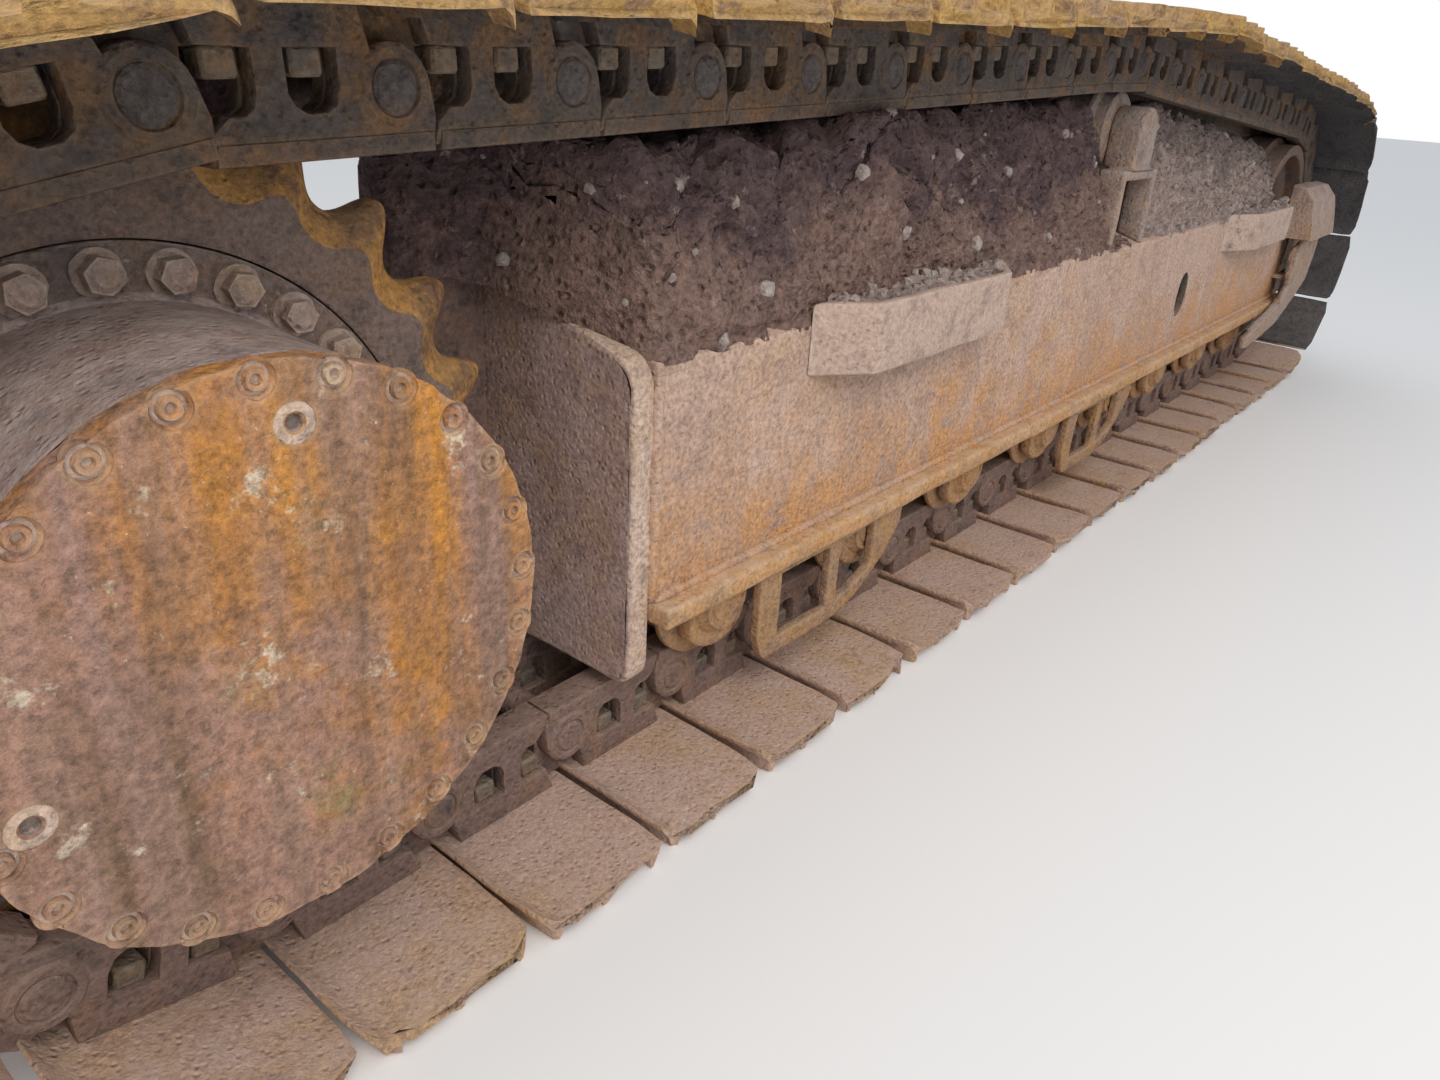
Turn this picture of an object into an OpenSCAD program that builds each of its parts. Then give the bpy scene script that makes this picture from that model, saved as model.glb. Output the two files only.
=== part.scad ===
// Crawler track unit of a large excavator: one side's track, frame, drive and rollers.
// X runs forward from the sprocket to the idler, Y runs inboard and Z is up.
// The origin lies on the ground, in the middle of the unit's box.

/* [Track chain] */
// Distance between two neighbouring chain pins
pitch = 216; // [200:1:225]
// Height of a pin above the inner face of its shoe
pin_h = 70; // [62:1:76]
// Height of the rail, on which the rollers run, above the pins
rail_h = 56; // [50:1:62]
// Half the clear width between the two strands of links
strand_in = 58; // [52:1:64]
// Half the width over the two strands of links
strand_out = 102; // [90:1:112]
// Length of a pin, from end to end
pin_len = 246; // [230:2:262]

/* [Shoes] */
// Width of the shoes, across the track
shoe_w = 600; // [500:10:800]
// Thickness of a shoe's plate
shoe_t = 14; // [10:1:18]
// Height of the grousers below the plate
grouser_h = 22; // [14:1:34]
// Gap between one shoe's plate and the next
shoe_gap = 9; // [5:1:16]

/* [Sprocket] */
// Teeth of the sprocket, of which every second one meets a pin
teeth = 23; // [21:2:25]
// Angle by which the lowest pin on the sprocket stands forward of straight down
spr_phase = 3.2; // [0:0.1:7]
// Radius of the tooth roots
root_r = 368; // [350:1:374]
// Radius of the tooth tips
tip_r = 415; // [405:1:424]
// Thickness of the sprocket's rim
rim_t = 70; // [56:1:84]
// Width of the worn crest that runs round the teeth
crest_t = 30; // [16:1:44]
// How far the sides of the teeth are worn down towards the faces
tooth_wear = 52; // [30:1:64]

/* [Final drive] */
// Radius of the drive's drum
drum_r = 240; // [220:1:262]
// Radius of the hub's flange, let into the sprocket
hub_r = 289; // [275:1:300]
// Thickness of the hub's flange
hub_t = 25; // [18:1:30]
// Radius of the outer cover
cover_r = 244; // [236:1:266]
// Thickness of the outer cover
cover_t = 20; // [14:1:30]
// How far the cover's face lies outboard of the track's middle
cover_out = 281; // [240:1:295]
// Bolts round the cover
cover_bolts = 24; // [18:1:30]
// Radius of the circle of the cover's bolts
cover_bolt_r = 231; // [210:1:233]
// Radius of the travel motor's body
motor_r = 150; // [110:1:170]
// How far the travel motor reaches inboard of the track's middle
motor_in = 330; // [280:1:360]

/* [Frame] */
// Distance from the sprocket to the frame's rear end plate
frame_rear = 505; // [480:5:560]
// Distance from the idler back to the front ends of the side plates
frame_front = 60; // [40:5:90]
// Half the width of the frame over its side plates
frame_half = 165; // [150:1:175]
// Thickness of the side plates
side_t = 20; // [14:1:28]
// Height of the side plates' lower edges and of the bottom rails' tops
rail_top = 303; // [296:1:312]
// Height of the outer side plate's upper edge
side_top = 611; // [560:1:640]
// Rise of the top plate, for each millimetre inboard
top_slope = 0.29; // [0.1:0.01:0.35]
// Thickness of the top plate
top_t = 16; // [10:1:24]
// Thickness of the bottom rails
foot_t = 32; // [24:1:38]
// How far the bottom rails stand out past the side plates
foot_out = 33; // [20:1:45]
// How far the bottom rails reach in under the frame
foot_in = 38; // [30:1:38]
// Thickness of the rear end plate
end_t = 38; // [24:1:46]
// Height of the rear end plate's lower edge
end_low = 184; // [176:1:200]

/* [Track rollers] */
// Distance from the sprocket to the first track roller
roller_first = 710; // [680:5:760]
// Distance between two track rollers
roller_step = 395; // [300:5:400]
// Radius of a track roller's treads
roller_r = 82; // [74:1:88]
// How far the flanges stand out past the treads
roller_flange = 18; // [12:1:22]
// Width of the collars that hold the track rollers
collar_w = 130; // [104:2:140]

/* [Carrier rollers] */
// Distances from the sprocket to the two carrier rollers
carrier_x = [1040, 2145];
// Height of the front carrier roller's middle
carrier_z = 874; // [850:1:890]
// Radius of a carrier roller's treads
carrier_r = 82; // [70:1:90]
// How far a carrier roller's inner flanges stand up between the strands
carrier_flange = 16; // [8:1:20]

/* [Idler] */
// Distance from the sprocket to the idler
idler_x = 3942; // [3920:1:3990]
// Radius of the idler's treads
idler_r = 316; // [310:1:322]
// Clearance between the idler's treads and the chain's rails
idler_gap = 5; // [5:0.5:8]
// Radius of the idler's axle
axle_r = 45; // [35:1:55]

/* [Fittings] */
// Radius of the fixed spindle behind the hub
spindle_r = 200; // [170:1:205]
// How far the motor's mount lies inboard of the track's middle
mount_y = 112; // [106:1:115]
// Thickness of the motor's mount
mount_t = 50; // [30:1:50]
// Radius of the round end of the motor's mount
mount_r = 290; // [260:1:320]
// Thickness of the leg pads
pad_t = 40; // [25:1:60]
// Distance along the track between a leg pad's bolts
bolt_dx = 400; // [300:5:440]
// Distance in height between a leg pad's bolts
bolt_dz = 200; // [140:5:230]
// Radius of the leg pads' bolt holes
bolt_r = 19.5; // [12:0.5:22]
// Height of the flat bars that make the steps
step_h = 105; // [60:1:110]
// How far the steps stand out from the side plate
step_out = 60; // [40:1:90]
// Thickness of the steps
step_t = 16; // [8:1:20]
// Radius of the round lower ends of the collars that hold the track rollers
collar_r = 80; // [70:1:90]
// How far the collars reach outboard
collar_out = 168; // [150:1:175]
// How far a chain guard reaches behind the middle of its track roller
guard_back = 338; // [300:1:350]
// How far it reaches forward of it
guard_ahead = 76; // [66:1:90]
// Height of the chain guards' lower edges
guard_low = 115; // [100:1:135]
// Thickness of the chain guards
guard_t = 16; // [10:1:20]
// Radius of the clamps that hold the carrier rollers
clamp_r = 55; // [45:1:62]
// Width of the carrier rollers' portal brackets
portal_w = 220; // [180:5:240]
// Thickness of the portal brackets' legs
portal_t = 22; // [14:1:30]
// Half the clear width between the idler's blocks
block_in = 109; // [108:1:125]

/* [Hidden] */
$fn = 96;

// Heights of the chain: the ground is at the grousers' tips
plate_z = shoe_t + grouser_h;
pin_z = plate_z + pin_h;
rail_z = pin_z + rail_h;
link_angle = 720 / teeth;
spr_r = pitch / 2 / sin(link_angle / 2);
spr_z = pin_z + spr_r;
guide_r = idler_r + 20;
// Links lie on the idler as chords, so their rails touch it at their middles
idler_pin_r = norm([idler_r + idler_gap + rail_h, pitch / 2]);
idler_z = pin_z + idler_pin_r;
carrier_pin_r = carrier_r + rail_h;

// The path of the pins, over the round pieces that carry the chain: [middle x, middle z, pin radius]
SPR = [0, spr_z, spr_r];
CAR = [carrier_x[1], carrier_z, carrier_pin_r];
IDL = [idler_x, idler_z, idler_pin_r];
// Direction of the outward normal of the straight run over two of these
function over(a, b) =
    let (dx = b[0] - a[0], dz = b[1] - a[1])
    atan2(dz, dx) + acos((a[2] - b[2]) / norm([dx, dz]));
function rim(c, ang) = [c[0] + c[2] * cos(ang), c[1] + c[2] * sin(ang)];
n_rear = over(SPR, CAR);
n_front = over(CAR, IDL);
// Pins on the sprocket from the lowest one round its back, and the first angle after them
back_pins = 5;
back_angle = 270 + spr_phase - back_pins * link_angle;
first_x = spr_r * sin(spr_phase);
straight_pins = floor((idler_x - first_x) / pitch);
// What is left of the path, from the last straight pin round the idler to the sprocket
lead_in = idler_x - first_x - straight_pins * pitch;
arc = PI / 180;
LEGS = [
    lead_in,
    idler_pin_r * (n_front + 90) * arc,
    norm(rim(IDL, n_front) - rim(CAR, n_front)),
    carrier_pin_r * (n_rear - n_front) * arc,
    norm(rim(CAR, n_rear) - rim(SPR, n_rear)),
    spr_r * (back_angle - n_rear) * arc
];
function upto(k) = k == 0 ? 0 : LEGS[k - 1] + upto(k - 1);
function along(s) =
    s < upto(1) ? [idler_x - lead_in + s, pin_z]
    : s < upto(2) ? rim(IDL, -90 + (s - upto(1)) / idler_pin_r / arc)
    : s < upto(3) ? rim(IDL, n_front) + (rim(CAR, n_front) - rim(IDL, n_front)) * (s - upto(2)) / LEGS[2]
    : s < upto(4) ? rim(CAR, n_front + (s - upto(3)) / carrier_pin_r / arc)
    : s < upto(5) ? rim(CAR, n_rear) + (rim(SPR, n_rear) - rim(CAR, n_rear)) * (s - upto(4)) / LEGS[4]
    : rim(SPR, n_rear + (s - upto(5)) / spr_r / arc);
rest_links = round(upto(6) / pitch);
PINS = concat(
    [for (k = [0:straight_pins]) [first_x + k * pitch, pin_z]],
    [for (k = [1:rest_links]) along(upto(6) * k / rest_links)],
    [for (k = [back_pins - 1:-1:1]) rim(SPR, 270 + spr_phase - k * link_angle)]
);
links = len(PINS);
function dir(i) = let (d = PINS[(i + 1) % links] - PINS[i]) d / norm(d);
// A point of link i: u along the link from its middle, v outward from its pins
function at(i, u, v) =
    let (d = dir(i), m = (PINS[i] + PINS[(i + 1) % links]) / 2)
    m + d * u + [d[1], -d[0]] * v;

// A shoe's section: u along the link, v outward from the inner face. Three grousers, and a lip that
// bends in under the shoe before it
half_shoe = (pitch - shoe_gap) / 2;
lip = 12;
SHOE = [
    [half_shoe, 0], [-half_shoe - 4, -lip], [-half_shoe + 14, shoe_t + grouser_h],
    [-half_shoe + 34, shoe_t], [-12, shoe_t], [0, shoe_t + grouser_h], [12, shoe_t],
    [half_shoe - 26, shoe_t], [half_shoe - 10, shoe_t + grouser_h]
];
function shoe_at(i) = [for (p = SHOE) at(i, p[0], pin_h + p[1])];
EDGE = [for (i = [0:links - 1], p = shoe_at(i)) p[0]];

// The middle of the unit's box, in the frame of the sprocket and the track's middle plane
mid_x = (max(EDGE) + min(EDGE)) / 2;
mid_y = (motor_in - shoe_w / 2) / 2;
module unit() translate([-mid_x, -mid_y, 0]) children();

// An outline in x and z, as thick as from y0 to y1
module slab(y0, y1) translate([0, y1, 0]) rotate([90, 0, 0]) linear_extrude(y1 - y0) children();
// An outline in y and z, as long as from x0 to x1
module bar(x0, x1) translate([x0, 0, 0]) rotate([90, 0, 90]) linear_extrude(x1 - x0) children();

// The chain's strands: rails inside, bolt seats under the shoes, a window in each link
// The window in a link: [u as a share of the pitch, v]
WINDOW = [[-0.25, 32], [-0.21, -18], [0.27, -18], [0.315, 32]];
// Where the lines at height v over links i - 1 and i meet
function corner(i, v) = let (a = dir((i + links - 1) % links), b = dir(i % links), n = [a[1] + b[1], -a[0] - b[0]])
    PINS[i % links] + n * v / (1 + a * b);
// The points of an outline at which it bends
function bends(pts) = let (n = len(pts)) [for (k = [0:n - 1])
    let (a = pts[k] - pts[(k + n - 1) % n], b = pts[(k + 1) % n] - pts[k]) if (abs(cross(a, b)) > 1) pts[k]];
module strand(y0, y1) {
    seat = bends([for (i = [0:links - 1]) corner(i, pin_h + 1)]);
    rail = bends([for (i = [0:links - 1]) corner(i, -rail_h)]);
    windows = [for (i = [0:links - 1], q = WINDOW) at(i, q[0] * pitch, q[1])];
    n = len(seat);
    m = n + len(rail);
    w = len(WINDOW);
    slab(y0, y1) polygon(concat(seat, rail, windows), concat(
        [[for (k = [0:n - 1]) k]],
        [[for (k = [n:m - 1]) k]],
        [for (i = [0:links - 1]) [for (k = [0:w - 1]) m + w * i + k]]
    ));
}
module track_loop() unit() color([0.36, 0.27, 0.2]) union() {
    strand(-strand_out, -strand_in);
    strand(strand_in, strand_out);
    for (i = [0:links - 1]) slab(-shoe_w / 2, shoe_w / 2) polygon(shoe_at(i));
}

// Sprocket: a ring whose teeth are worn down from a crest towards both faces
spr_hole = spindle_r + 15;
// One tooth from root to root: [share of the tooth's angle, share of the tooth's height]
TOOTH = [[0, 0], [0.17, 0.08], [0.31, 0.55], [0.42, 1], [0.58, 1], [0.69, 0.55], [0.83, 0.08]];
worn_root = root_r - tooth_wear + 14;
worn_tip = tip_r - tooth_wear - 14;
// Rings of the sprocket from its back hole out and round to its front: [root radius, tip radius, y]
SPR_RINGS = [
    [spr_hole, spr_hole, rim_t / 2],
    [spr_hole, spr_hole, -rim_t / 2 + hub_t],
    [hub_r + 2, hub_r + 2, -rim_t / 2 + hub_t],
    [hub_r + 2, hub_r + 2, -rim_t / 2],
    [worn_root, worn_tip, -rim_t / 2],
    [root_r, tip_r, -crest_t / 2],
    [root_r, tip_r, crest_t / 2],
    [worn_root, worn_tip, rim_t / 2]
];
module sprocket() unit() color([0.5, 0.36, 0.2]) {
    n = teeth * len(TOOTH);
    rings = len(SPR_RINGS);
    pts = [for (ring = SPR_RINGS, t = [0:teeth - 1], q = TOOTH)
        let (ang = 270 + spr_phase + (t + q[0]) * 360 / teeth, r = ring[0] + (ring[1] - ring[0]) * q[1])
        [r * cos(ang), ring[2], spr_z + r * sin(ang)]];
    polyhedron(pts, [for (j = [0:rings - 1], k = [0:n - 1])
        let (a = j * n + k, b = j * n + (k + 1) % n,
            c = ((j + 1) % rings) * n + (k + 1) % n, d = ((j + 1) % rings) * n + k)
        each [[a, b, c], [a, c, d]]]);
}

// Final drive: the hub's flange in the sprocket and the drum outboard of it
module across(x, z) translate([x, 0, z]) rotate([-90, 0, 0]) children();
hub_face = -rim_t / 2;
module drive_drum() unit() color([0.55, 0.42, 0.38]) across(0, spr_z) {
    translate([0, 0, hub_face]) cylinder(r = hub_r, h = hub_t);
    translate([0, 0, -cover_out + cover_t]) cylinder(r = drum_r, h = cover_out - cover_t + hub_face);
}
cover_sink = 6;
cover_hole_r = 15;
// Plugs for the oil, in the cover's frame: [x, z, radius]
PLUGS = [[20, 194, 17], [-200, -43, 17]];
module drive_cover() unit() color([0.66, 0.4, 0.24]) across(0, spr_z) difference() {
    translate([0, 0, -cover_out]) cylinder(r = cover_r, h = cover_t);
    for (k = [0:cover_bolts - 1]) rotate([0, 0, -1 - k * 360 / cover_bolts])
        translate([cover_bolt_r, 0, -cover_out - 1]) cylinder(r = cover_hole_r, h = cover_sink + 1, $fn = 24);
    for (q = PLUGS) translate([q[0], -q[1], -cover_out - 1]) cylinder(r = q[2], h = cover_sink + 1, $fn = 24);
}

// Travel motor: the fixed spindle behind the hub and the motor's body inboard of its mount
module travel_motor() unit() color([0.42, 0.36, 0.33]) across(0, spr_z) {
    translate([0, 0, hub_face + hub_t]) cylinder(r = spindle_r, h = mount_y - hub_face - hub_t);
    translate([0, 0, mount_y]) cylinder(r = motor_r, h = motor_in - mount_y);
}
arm_low = 215;
arm_high = 703;
module motor_mount() unit() color([0.5, 0.42, 0.38]) difference() {
    slab(mount_y, mount_y + mount_t) union() {
        translate([0, spr_z]) circle(r = mount_r);
        translate([0, arm_low]) square([frame_rear, arm_high - arm_low]);
    }
    across(0, spr_z) translate([0, 0, mount_y - 1]) cylinder(r = motor_r, h = mount_t + 2);
}

// Frame: two side plates, a sloping top plate, two bottom rails and the rear end plate
x_rear = frame_rear + end_t;
x_front = idler_x - frame_front;
top_in = side_top + 2 * frame_half * top_slope;
function top_at(y) = side_top + (y + frame_half) * top_slope;
slot_x = 2690;
slot_low = 395;
slot_high = 505;
slot_w = 22;
module side_plate_outer() unit() color([0.63, 0.5, 0.42]) difference() {
    bar(x_rear, x_front) polygon([
        [-frame_half, rail_top], [-frame_half + side_t, rail_top],
        [-frame_half + side_t, top_at(-frame_half + side_t)], [-frame_half, side_top]
    ]);
    translate([slot_x, -frame_half - 1, slot_low]) cube([slot_w, side_t + 2, slot_high - slot_low]);
}
// Pads on which the lower frame's legs are bolted
PADS = [1300, 2950];
pad_w = 520;
pad_h = 300;
pad_z = 500;
module pad_holes(x, y0, y1, r) for (sx = [-1, 1], sz = [-1, 1])
    translate([x + sx * bolt_dx / 2, y0, pad_z + sz * bolt_dz / 2]) rotate([-90, 0, 0]) cylinder(r = r, h = y1 - y0);
module side_plate_inner() unit() color([0.55, 0.45, 0.4]) difference() {
    bar(x_rear, x_front) polygon([
        [frame_half - side_t, rail_top], [frame_half, rail_top],
        [frame_half, top_in], [frame_half - side_t, top_at(frame_half - side_t)]
    ]);
    for (x = PADS) pad_holes(x, frame_half - side_t - 1, frame_half + 1, bolt_r + 4);
}
module leg_pad(x) unit() color([0.5, 0.42, 0.38]) difference() {
    translate([x - pad_w / 2, frame_half, pad_z - pad_h / 2]) cube([pad_w, pad_t, pad_h]);
    pad_holes(x, frame_half - 1, frame_half + pad_t + 1, bolt_r);
}
module leg_pad_rear() leg_pad(PADS[0]);
module leg_pad_front() leg_pad(PADS[1]);
// The top plate ends short of the idler's guide rim
top_gap = 24;
top_front = idler_x - guide_r - top_gap;
module top_plate() unit() color([0.5, 0.4, 0.36]) bar(x_rear, top_front) polygon([
    [-frame_half, side_top], [frame_half, top_in],
    [frame_half, top_in + top_t], [-frame_half, side_top + top_t]
]);
module bottom_rail(s) unit() color([0.68, 0.52, 0.4]) bar(x_rear, x_front) polygon([
    [s * (frame_half + foot_out), rail_top - foot_t], [s * (frame_half + foot_out), rail_top],
    [s * (frame_half - foot_in), rail_top], [s * (frame_half - foot_in), rail_top - foot_t]
]);
module bottom_rail_outer() bottom_rail(-1);
module bottom_rail_inner() bottom_rail(1);
end_corner = 60;
module rear_end_plate() unit() color([0.45, 0.36, 0.33]) bar(frame_rear, x_rear) polygon([
    [-frame_half, end_low], [frame_half, end_low], [frame_half, top_in + top_t],
    [-frame_half + end_corner, side_top + top_t + end_corner * top_slope],
    [-frame_half, side_top + top_t - end_corner * 0.7]
]);

// Steps: flat bars, folded so that both ends reach the side plate. Rows: [first x, last x, bottom z, fold]
STEPS = [[861, 1480, 553, 95], [3000, 3690, 540, 150]];
module step(row) unit() color([0.62, 0.5, 0.42]) translate([0, 0, row[2]]) linear_extrude(step_h) {
    y = -frame_half;
    in = step_t * norm([row[3], step_out]) / step_out;
    cut = in - step_t * row[3] / step_out;
    polygon([
        [row[0], y], [row[0] + row[3], y - step_out], [row[1] - row[3], y - step_out], [row[1], y],
        [row[1] - in, y], [row[1] - row[3] - cut, y - step_out + step_t],
        [row[0] + row[3] + cut, y - step_out + step_t], [row[0] + in, y]
    ]);
}
module step_rear() step(STEPS[0]);
module step_front() step(STEPS[1]);

// Track rollers: two treads with outer flanges on a shaft, whose collars are bolted under the rails
roller_z = rail_z + roller_r;
collar_y = pin_len / 2 + 4;
flange_r = roller_r + roller_flange;
half_roller = [
    [0, -collar_y], [34, -collar_y], [34, 6 - collar_y], [flange_r, 10 - collar_y],
    [flange_r, 20 - collar_y], [roller_r, -strand_out - 1], [roller_r, -46], [roller_r - 22, -40]
];
function mirrored(half) = concat(half, [for (k = [len(half) - 1:-1:0]) [half[k][0], -half[k][1]]]);
module track_roller(k) unit() color([0.6, 0.45, 0.3]) {
    x = roller_first + (k - 1) * roller_step;
    across(x, roller_z) rotate_extrude() polygon(mirrored(half_roller));
    for (s = [-1, 1]) slab(s > 0 ? collar_y : -collar_out, s > 0 ? collar_out : -collar_y) intersection() {
        union() {
            translate([x, roller_z]) circle(r = collar_r);
            translate([x - collar_r, roller_z]) square([2 * collar_r, collar_r]);
        }
        translate([x - collar_w / 2, roller_z - collar_r])
            square([collar_w, rail_top - foot_t - roller_z + collar_r]);
    }
}
module track_roller_1() track_roller(1);
module track_roller_2() track_roller(2);
module track_roller_3() track_roller(3);
module track_roller_4() track_roller(4);
module track_roller_5() track_roller(5);
module track_roller_6() track_roller(6);
module track_roller_7() track_roller(7);
module track_roller_8() track_roller(8);

// Chain guards: plates that hang from the rails round the collars of two track rollers
GUARDS = [roller_first + roller_step, roller_first + 4 * roller_step];
guard_in = collar_out + 2;
guard_round = 55;
guard_floor = 30;
// Windows over the floor of a guard: [first x, last x] from its track roller
GUARD_WINDOWS = [[-238, -150], [-120, -15]];
module chain_guard(x) unit() color([0.5, 0.4, 0.32]) for (y = [-guard_in - guard_t, guard_in])
    slab(y, y + guard_t) difference() {
        union() {
            for (dx = [-guard_back + guard_round, guard_ahead - guard_round])
                translate([x + dx, guard_low + guard_round]) circle(r = guard_round);
            translate([x - guard_back + guard_round, guard_low])
                square([guard_back + guard_ahead - 2 * guard_round, guard_round]);
            translate([x - guard_back, guard_low + guard_round])
                square([guard_back + guard_ahead, rail_top - foot_t - guard_low - guard_round]);
        }
        for (w = GUARD_WINDOWS) translate([x + w[0], guard_low + guard_floor])
            square([w[1] - w[0], rail_top - foot_t - guard_low - guard_floor - 14]);
    }
module chain_guard_rear() chain_guard(GUARDS[0]);
module chain_guard_front() chain_guard(GUARDS[1]);

// Carrier rollers, each held from outboard by a portal bracket with a clamp on top
rest_gap = 0.3;
// The highest middle at x of a round piece of radius r that lies under the chain's upper run
function under_chain(x, r) = min([
    for (i = [0:links - 1]) if (PINS[i][1] > idler_z && abs(PINS[i][0] - x) < 1.5 * pitch)
        let (e = dir(i), n = [e[1], -e[0]]) (corner(i, -rail_h) * n - r - x * n[0]) / n[1]
]);
carrier_mids = [for (x = carrier_x) under_chain(x, carrier_r + rest_gap)];
function carrier_mid(k) = carrier_mids[k];
carrier_half = 90;
half_carrier = [[0, -carrier_half], [carrier_r - 4, -carrier_half], [carrier_r, 4 - carrier_half],
    [carrier_r, -strand_in + 1], [carrier_r + carrier_flange, -strand_in + 5],
    [carrier_r + carrier_flange, -strand_in + 14], [carrier_r - 8, -strand_in + 20]];
module carrier_roller(k) unit() color([0.5, 0.42, 0.36]) across(carrier_x[k], carrier_mid(k))
    rotate_extrude() polygon(mirrored(half_carrier));
module carrier_roller_rear() carrier_roller(0);
module carrier_roller_front() carrier_roller(1);
portal_in = -105;
// How far outboard the brackets reach; the rear one stands in the mud
PORTAL_OUT = [frame_half - 35, frame_half];
function portal_top(k) = carrier_mid(k) - clamp_r - 20;
module clamp(k, grow) slab(-PORTAL_OUT[k] + 5 - grow, -carrier_half) {
    translate([carrier_x[k], carrier_mid(k)]) circle(r = clamp_r + grow);
    translate([carrier_x[k] - clamp_r - grow, portal_top(k)])
        square([2 * clamp_r + 2 * grow, carrier_mid(k) - portal_top(k)]);
}
module carrier_bracket(k) unit() color([0.6, 0.48, 0.42]) {
    x = carrier_x[k];
    out = -PORTAL_OUT[k];
    difference() {
        bar(x - portal_w / 2, x + portal_w / 2) polygon([
            [out, mud_z(out)], [portal_in, mud_z(portal_in)], [portal_in, portal_top(k)], [out, portal_top(k)]
        ]);
        translate([x - portal_w / 2 + portal_t, out - 1, side_top])
            cube([portal_w - 2 * portal_t, portal_in - out + 2, portal_top(k) - portal_t - side_top]);
    }
    clamp(k, 0);
}
module carrier_bracket_rear() carrier_bracket(0);
module carrier_bracket_front() carrier_bracket(1);

// Idler: a smooth wheel with a middle guide rim, on a fixed axle between two sliding blocks
axle_gap = 0.3;
half_idler = [
    [axle_r + axle_gap, -block_in + 6], [112, -block_in + 6], [132, -50], [idler_r - 42, -50],
    [idler_r - 32, -strand_out - 2], [idler_r, -strand_out - 2], [idler_r, -48], [guide_r, -42]
];
module idler_wheel() unit() color([0.42, 0.36, 0.32]) across(idler_x, idler_z)
    rotate_extrude() polygon(mirrored(half_idler));
module idler_axle() unit() color([0.5, 0.45, 0.4]) across(idler_x, idler_z)
    translate([0, 0, -block_in]) cylinder(r = axle_r, h = 2 * block_in);
block_l = 190;
block_h = 200;
block_out = frame_half - side_t;
module idler_block(y) unit() color([0.5, 0.42, 0.36])
    translate([idler_x - block_l / 2, y, idler_z - block_h / 2]) cube([block_l, block_out - block_in, block_h]);
module idler_block_outer() idler_block(-block_out);
module idler_block_inner() idler_block(block_in);
yoke_len = 410;
yoke_h = 120;
yoke_head = 60;
module idler_yoke() unit() color([0.45, 0.38, 0.33]) union() {
    for (y = [-block_out, block_in]) translate([idler_x - yoke_len, y, idler_z - yoke_h / 2])
        cube([yoke_len - block_l / 2, block_out - block_in, yoke_h]);
    translate([idler_x - yoke_len - yoke_head, -block_out, idler_z - yoke_h / 2])
        cube([yoke_head, 2 * block_out, yoke_h]);
}
spring_r = 110;
spring_len = 900;
module recoil_spring() unit() color([0.35, 0.32, 0.3])
    translate([idler_x - yoke_len - yoke_head - spring_len, 0, idler_z]) rotate([0, 90, 0])
        cylinder(r = spring_r, h = spring_len);
// Guard beside the idler: a hooded housing, and a strap that sweeps down and back along the chain
cap_rear = 190;
cap_front = 180;
cap_seat = 95;
cap_low = 523;
// The hood's outline: [how far out from the side plate, height over its lower edge]
HOOD = [[0, 174], [40, 167], [75, 128], [103, 0], [0, 0]];
// The strap's outline: [x from the idler, z]
STRAP = [[-590, 239], [-450, 260], [-302, 282], [-200, 303], [-135, 357], [-135, 524], [176, 524],
    [176, 435], [137, 357], [-13, 283], [-153, 238], [-344, 213], [-534, 200], [-590, 206]];
strap_in = 205;
strap_out = 255;
ledge_z = 376;
ledge_t = 14;
module idler_cap() unit() color([0.6, 0.5, 0.44]) {
    bar(idler_x - cap_rear, idler_x + cap_front) polygon([for (q = HOOD) [-frame_half - q[0], cap_low + q[1]]]);
    translate([idler_x - frame_front, -frame_half, cap_low])
        cube([frame_front + cap_seat, frame_half - block_out, idler_z + block_h / 2 - cap_low]);
    slab(-strap_out, -strap_in) polygon([for (q = STRAP) [idler_x + q[0], q[1]]]);
    translate([idler_x - 135, -strap_in, ledge_z]) cube([300, strap_in - frame_half, ledge_t]);
}

// Packed mud on the top plate. A bank is [first x, last x, rows], and a row is [share of the bank's
// length, y of its outer edge, height of its crest over the plate, how far its face bulges]
mud_edge = 5;
mud_out = -frame_half + mud_edge;
mud_in = frame_half - mud_edge;
BANKS = [
    [frame_rear - 140, carrier_x[1] + 40, [
        [0, 105, 112, 0], [0.07, 60, 150, 0], [0.1, -60, 172, 0], [0.14, mud_out, 196, 0], [0.3, mud_out, 216, 0.3],
        [0.34, mud_out, 218, 1], [0.41, mud_out, 222, 1], [0.45, mud_out, 232, 0.5], [0.63, mud_out, 245, 0.2],
        [0.765, mud_out, 252, 0.2], [0.85, mud_out, 214, 0], [0.925, mud_out, 148, 0], [1, mud_out, 40, 0]
    ]],
    [carrier_x[1] + portal_w / 2 + 6, top_front + 8, [
        [0, mud_out, 150, 0], [0.12, mud_out, 222, 0], [0.35, mud_out, 226, 0.3], [0.65, mud_out, 198, 0.6],
        [0.85, mud_out, 172, 0.6], [0.96, mud_out, 120, 0.4], [1, mud_out, 40, 0]
    ]]
];
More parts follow.
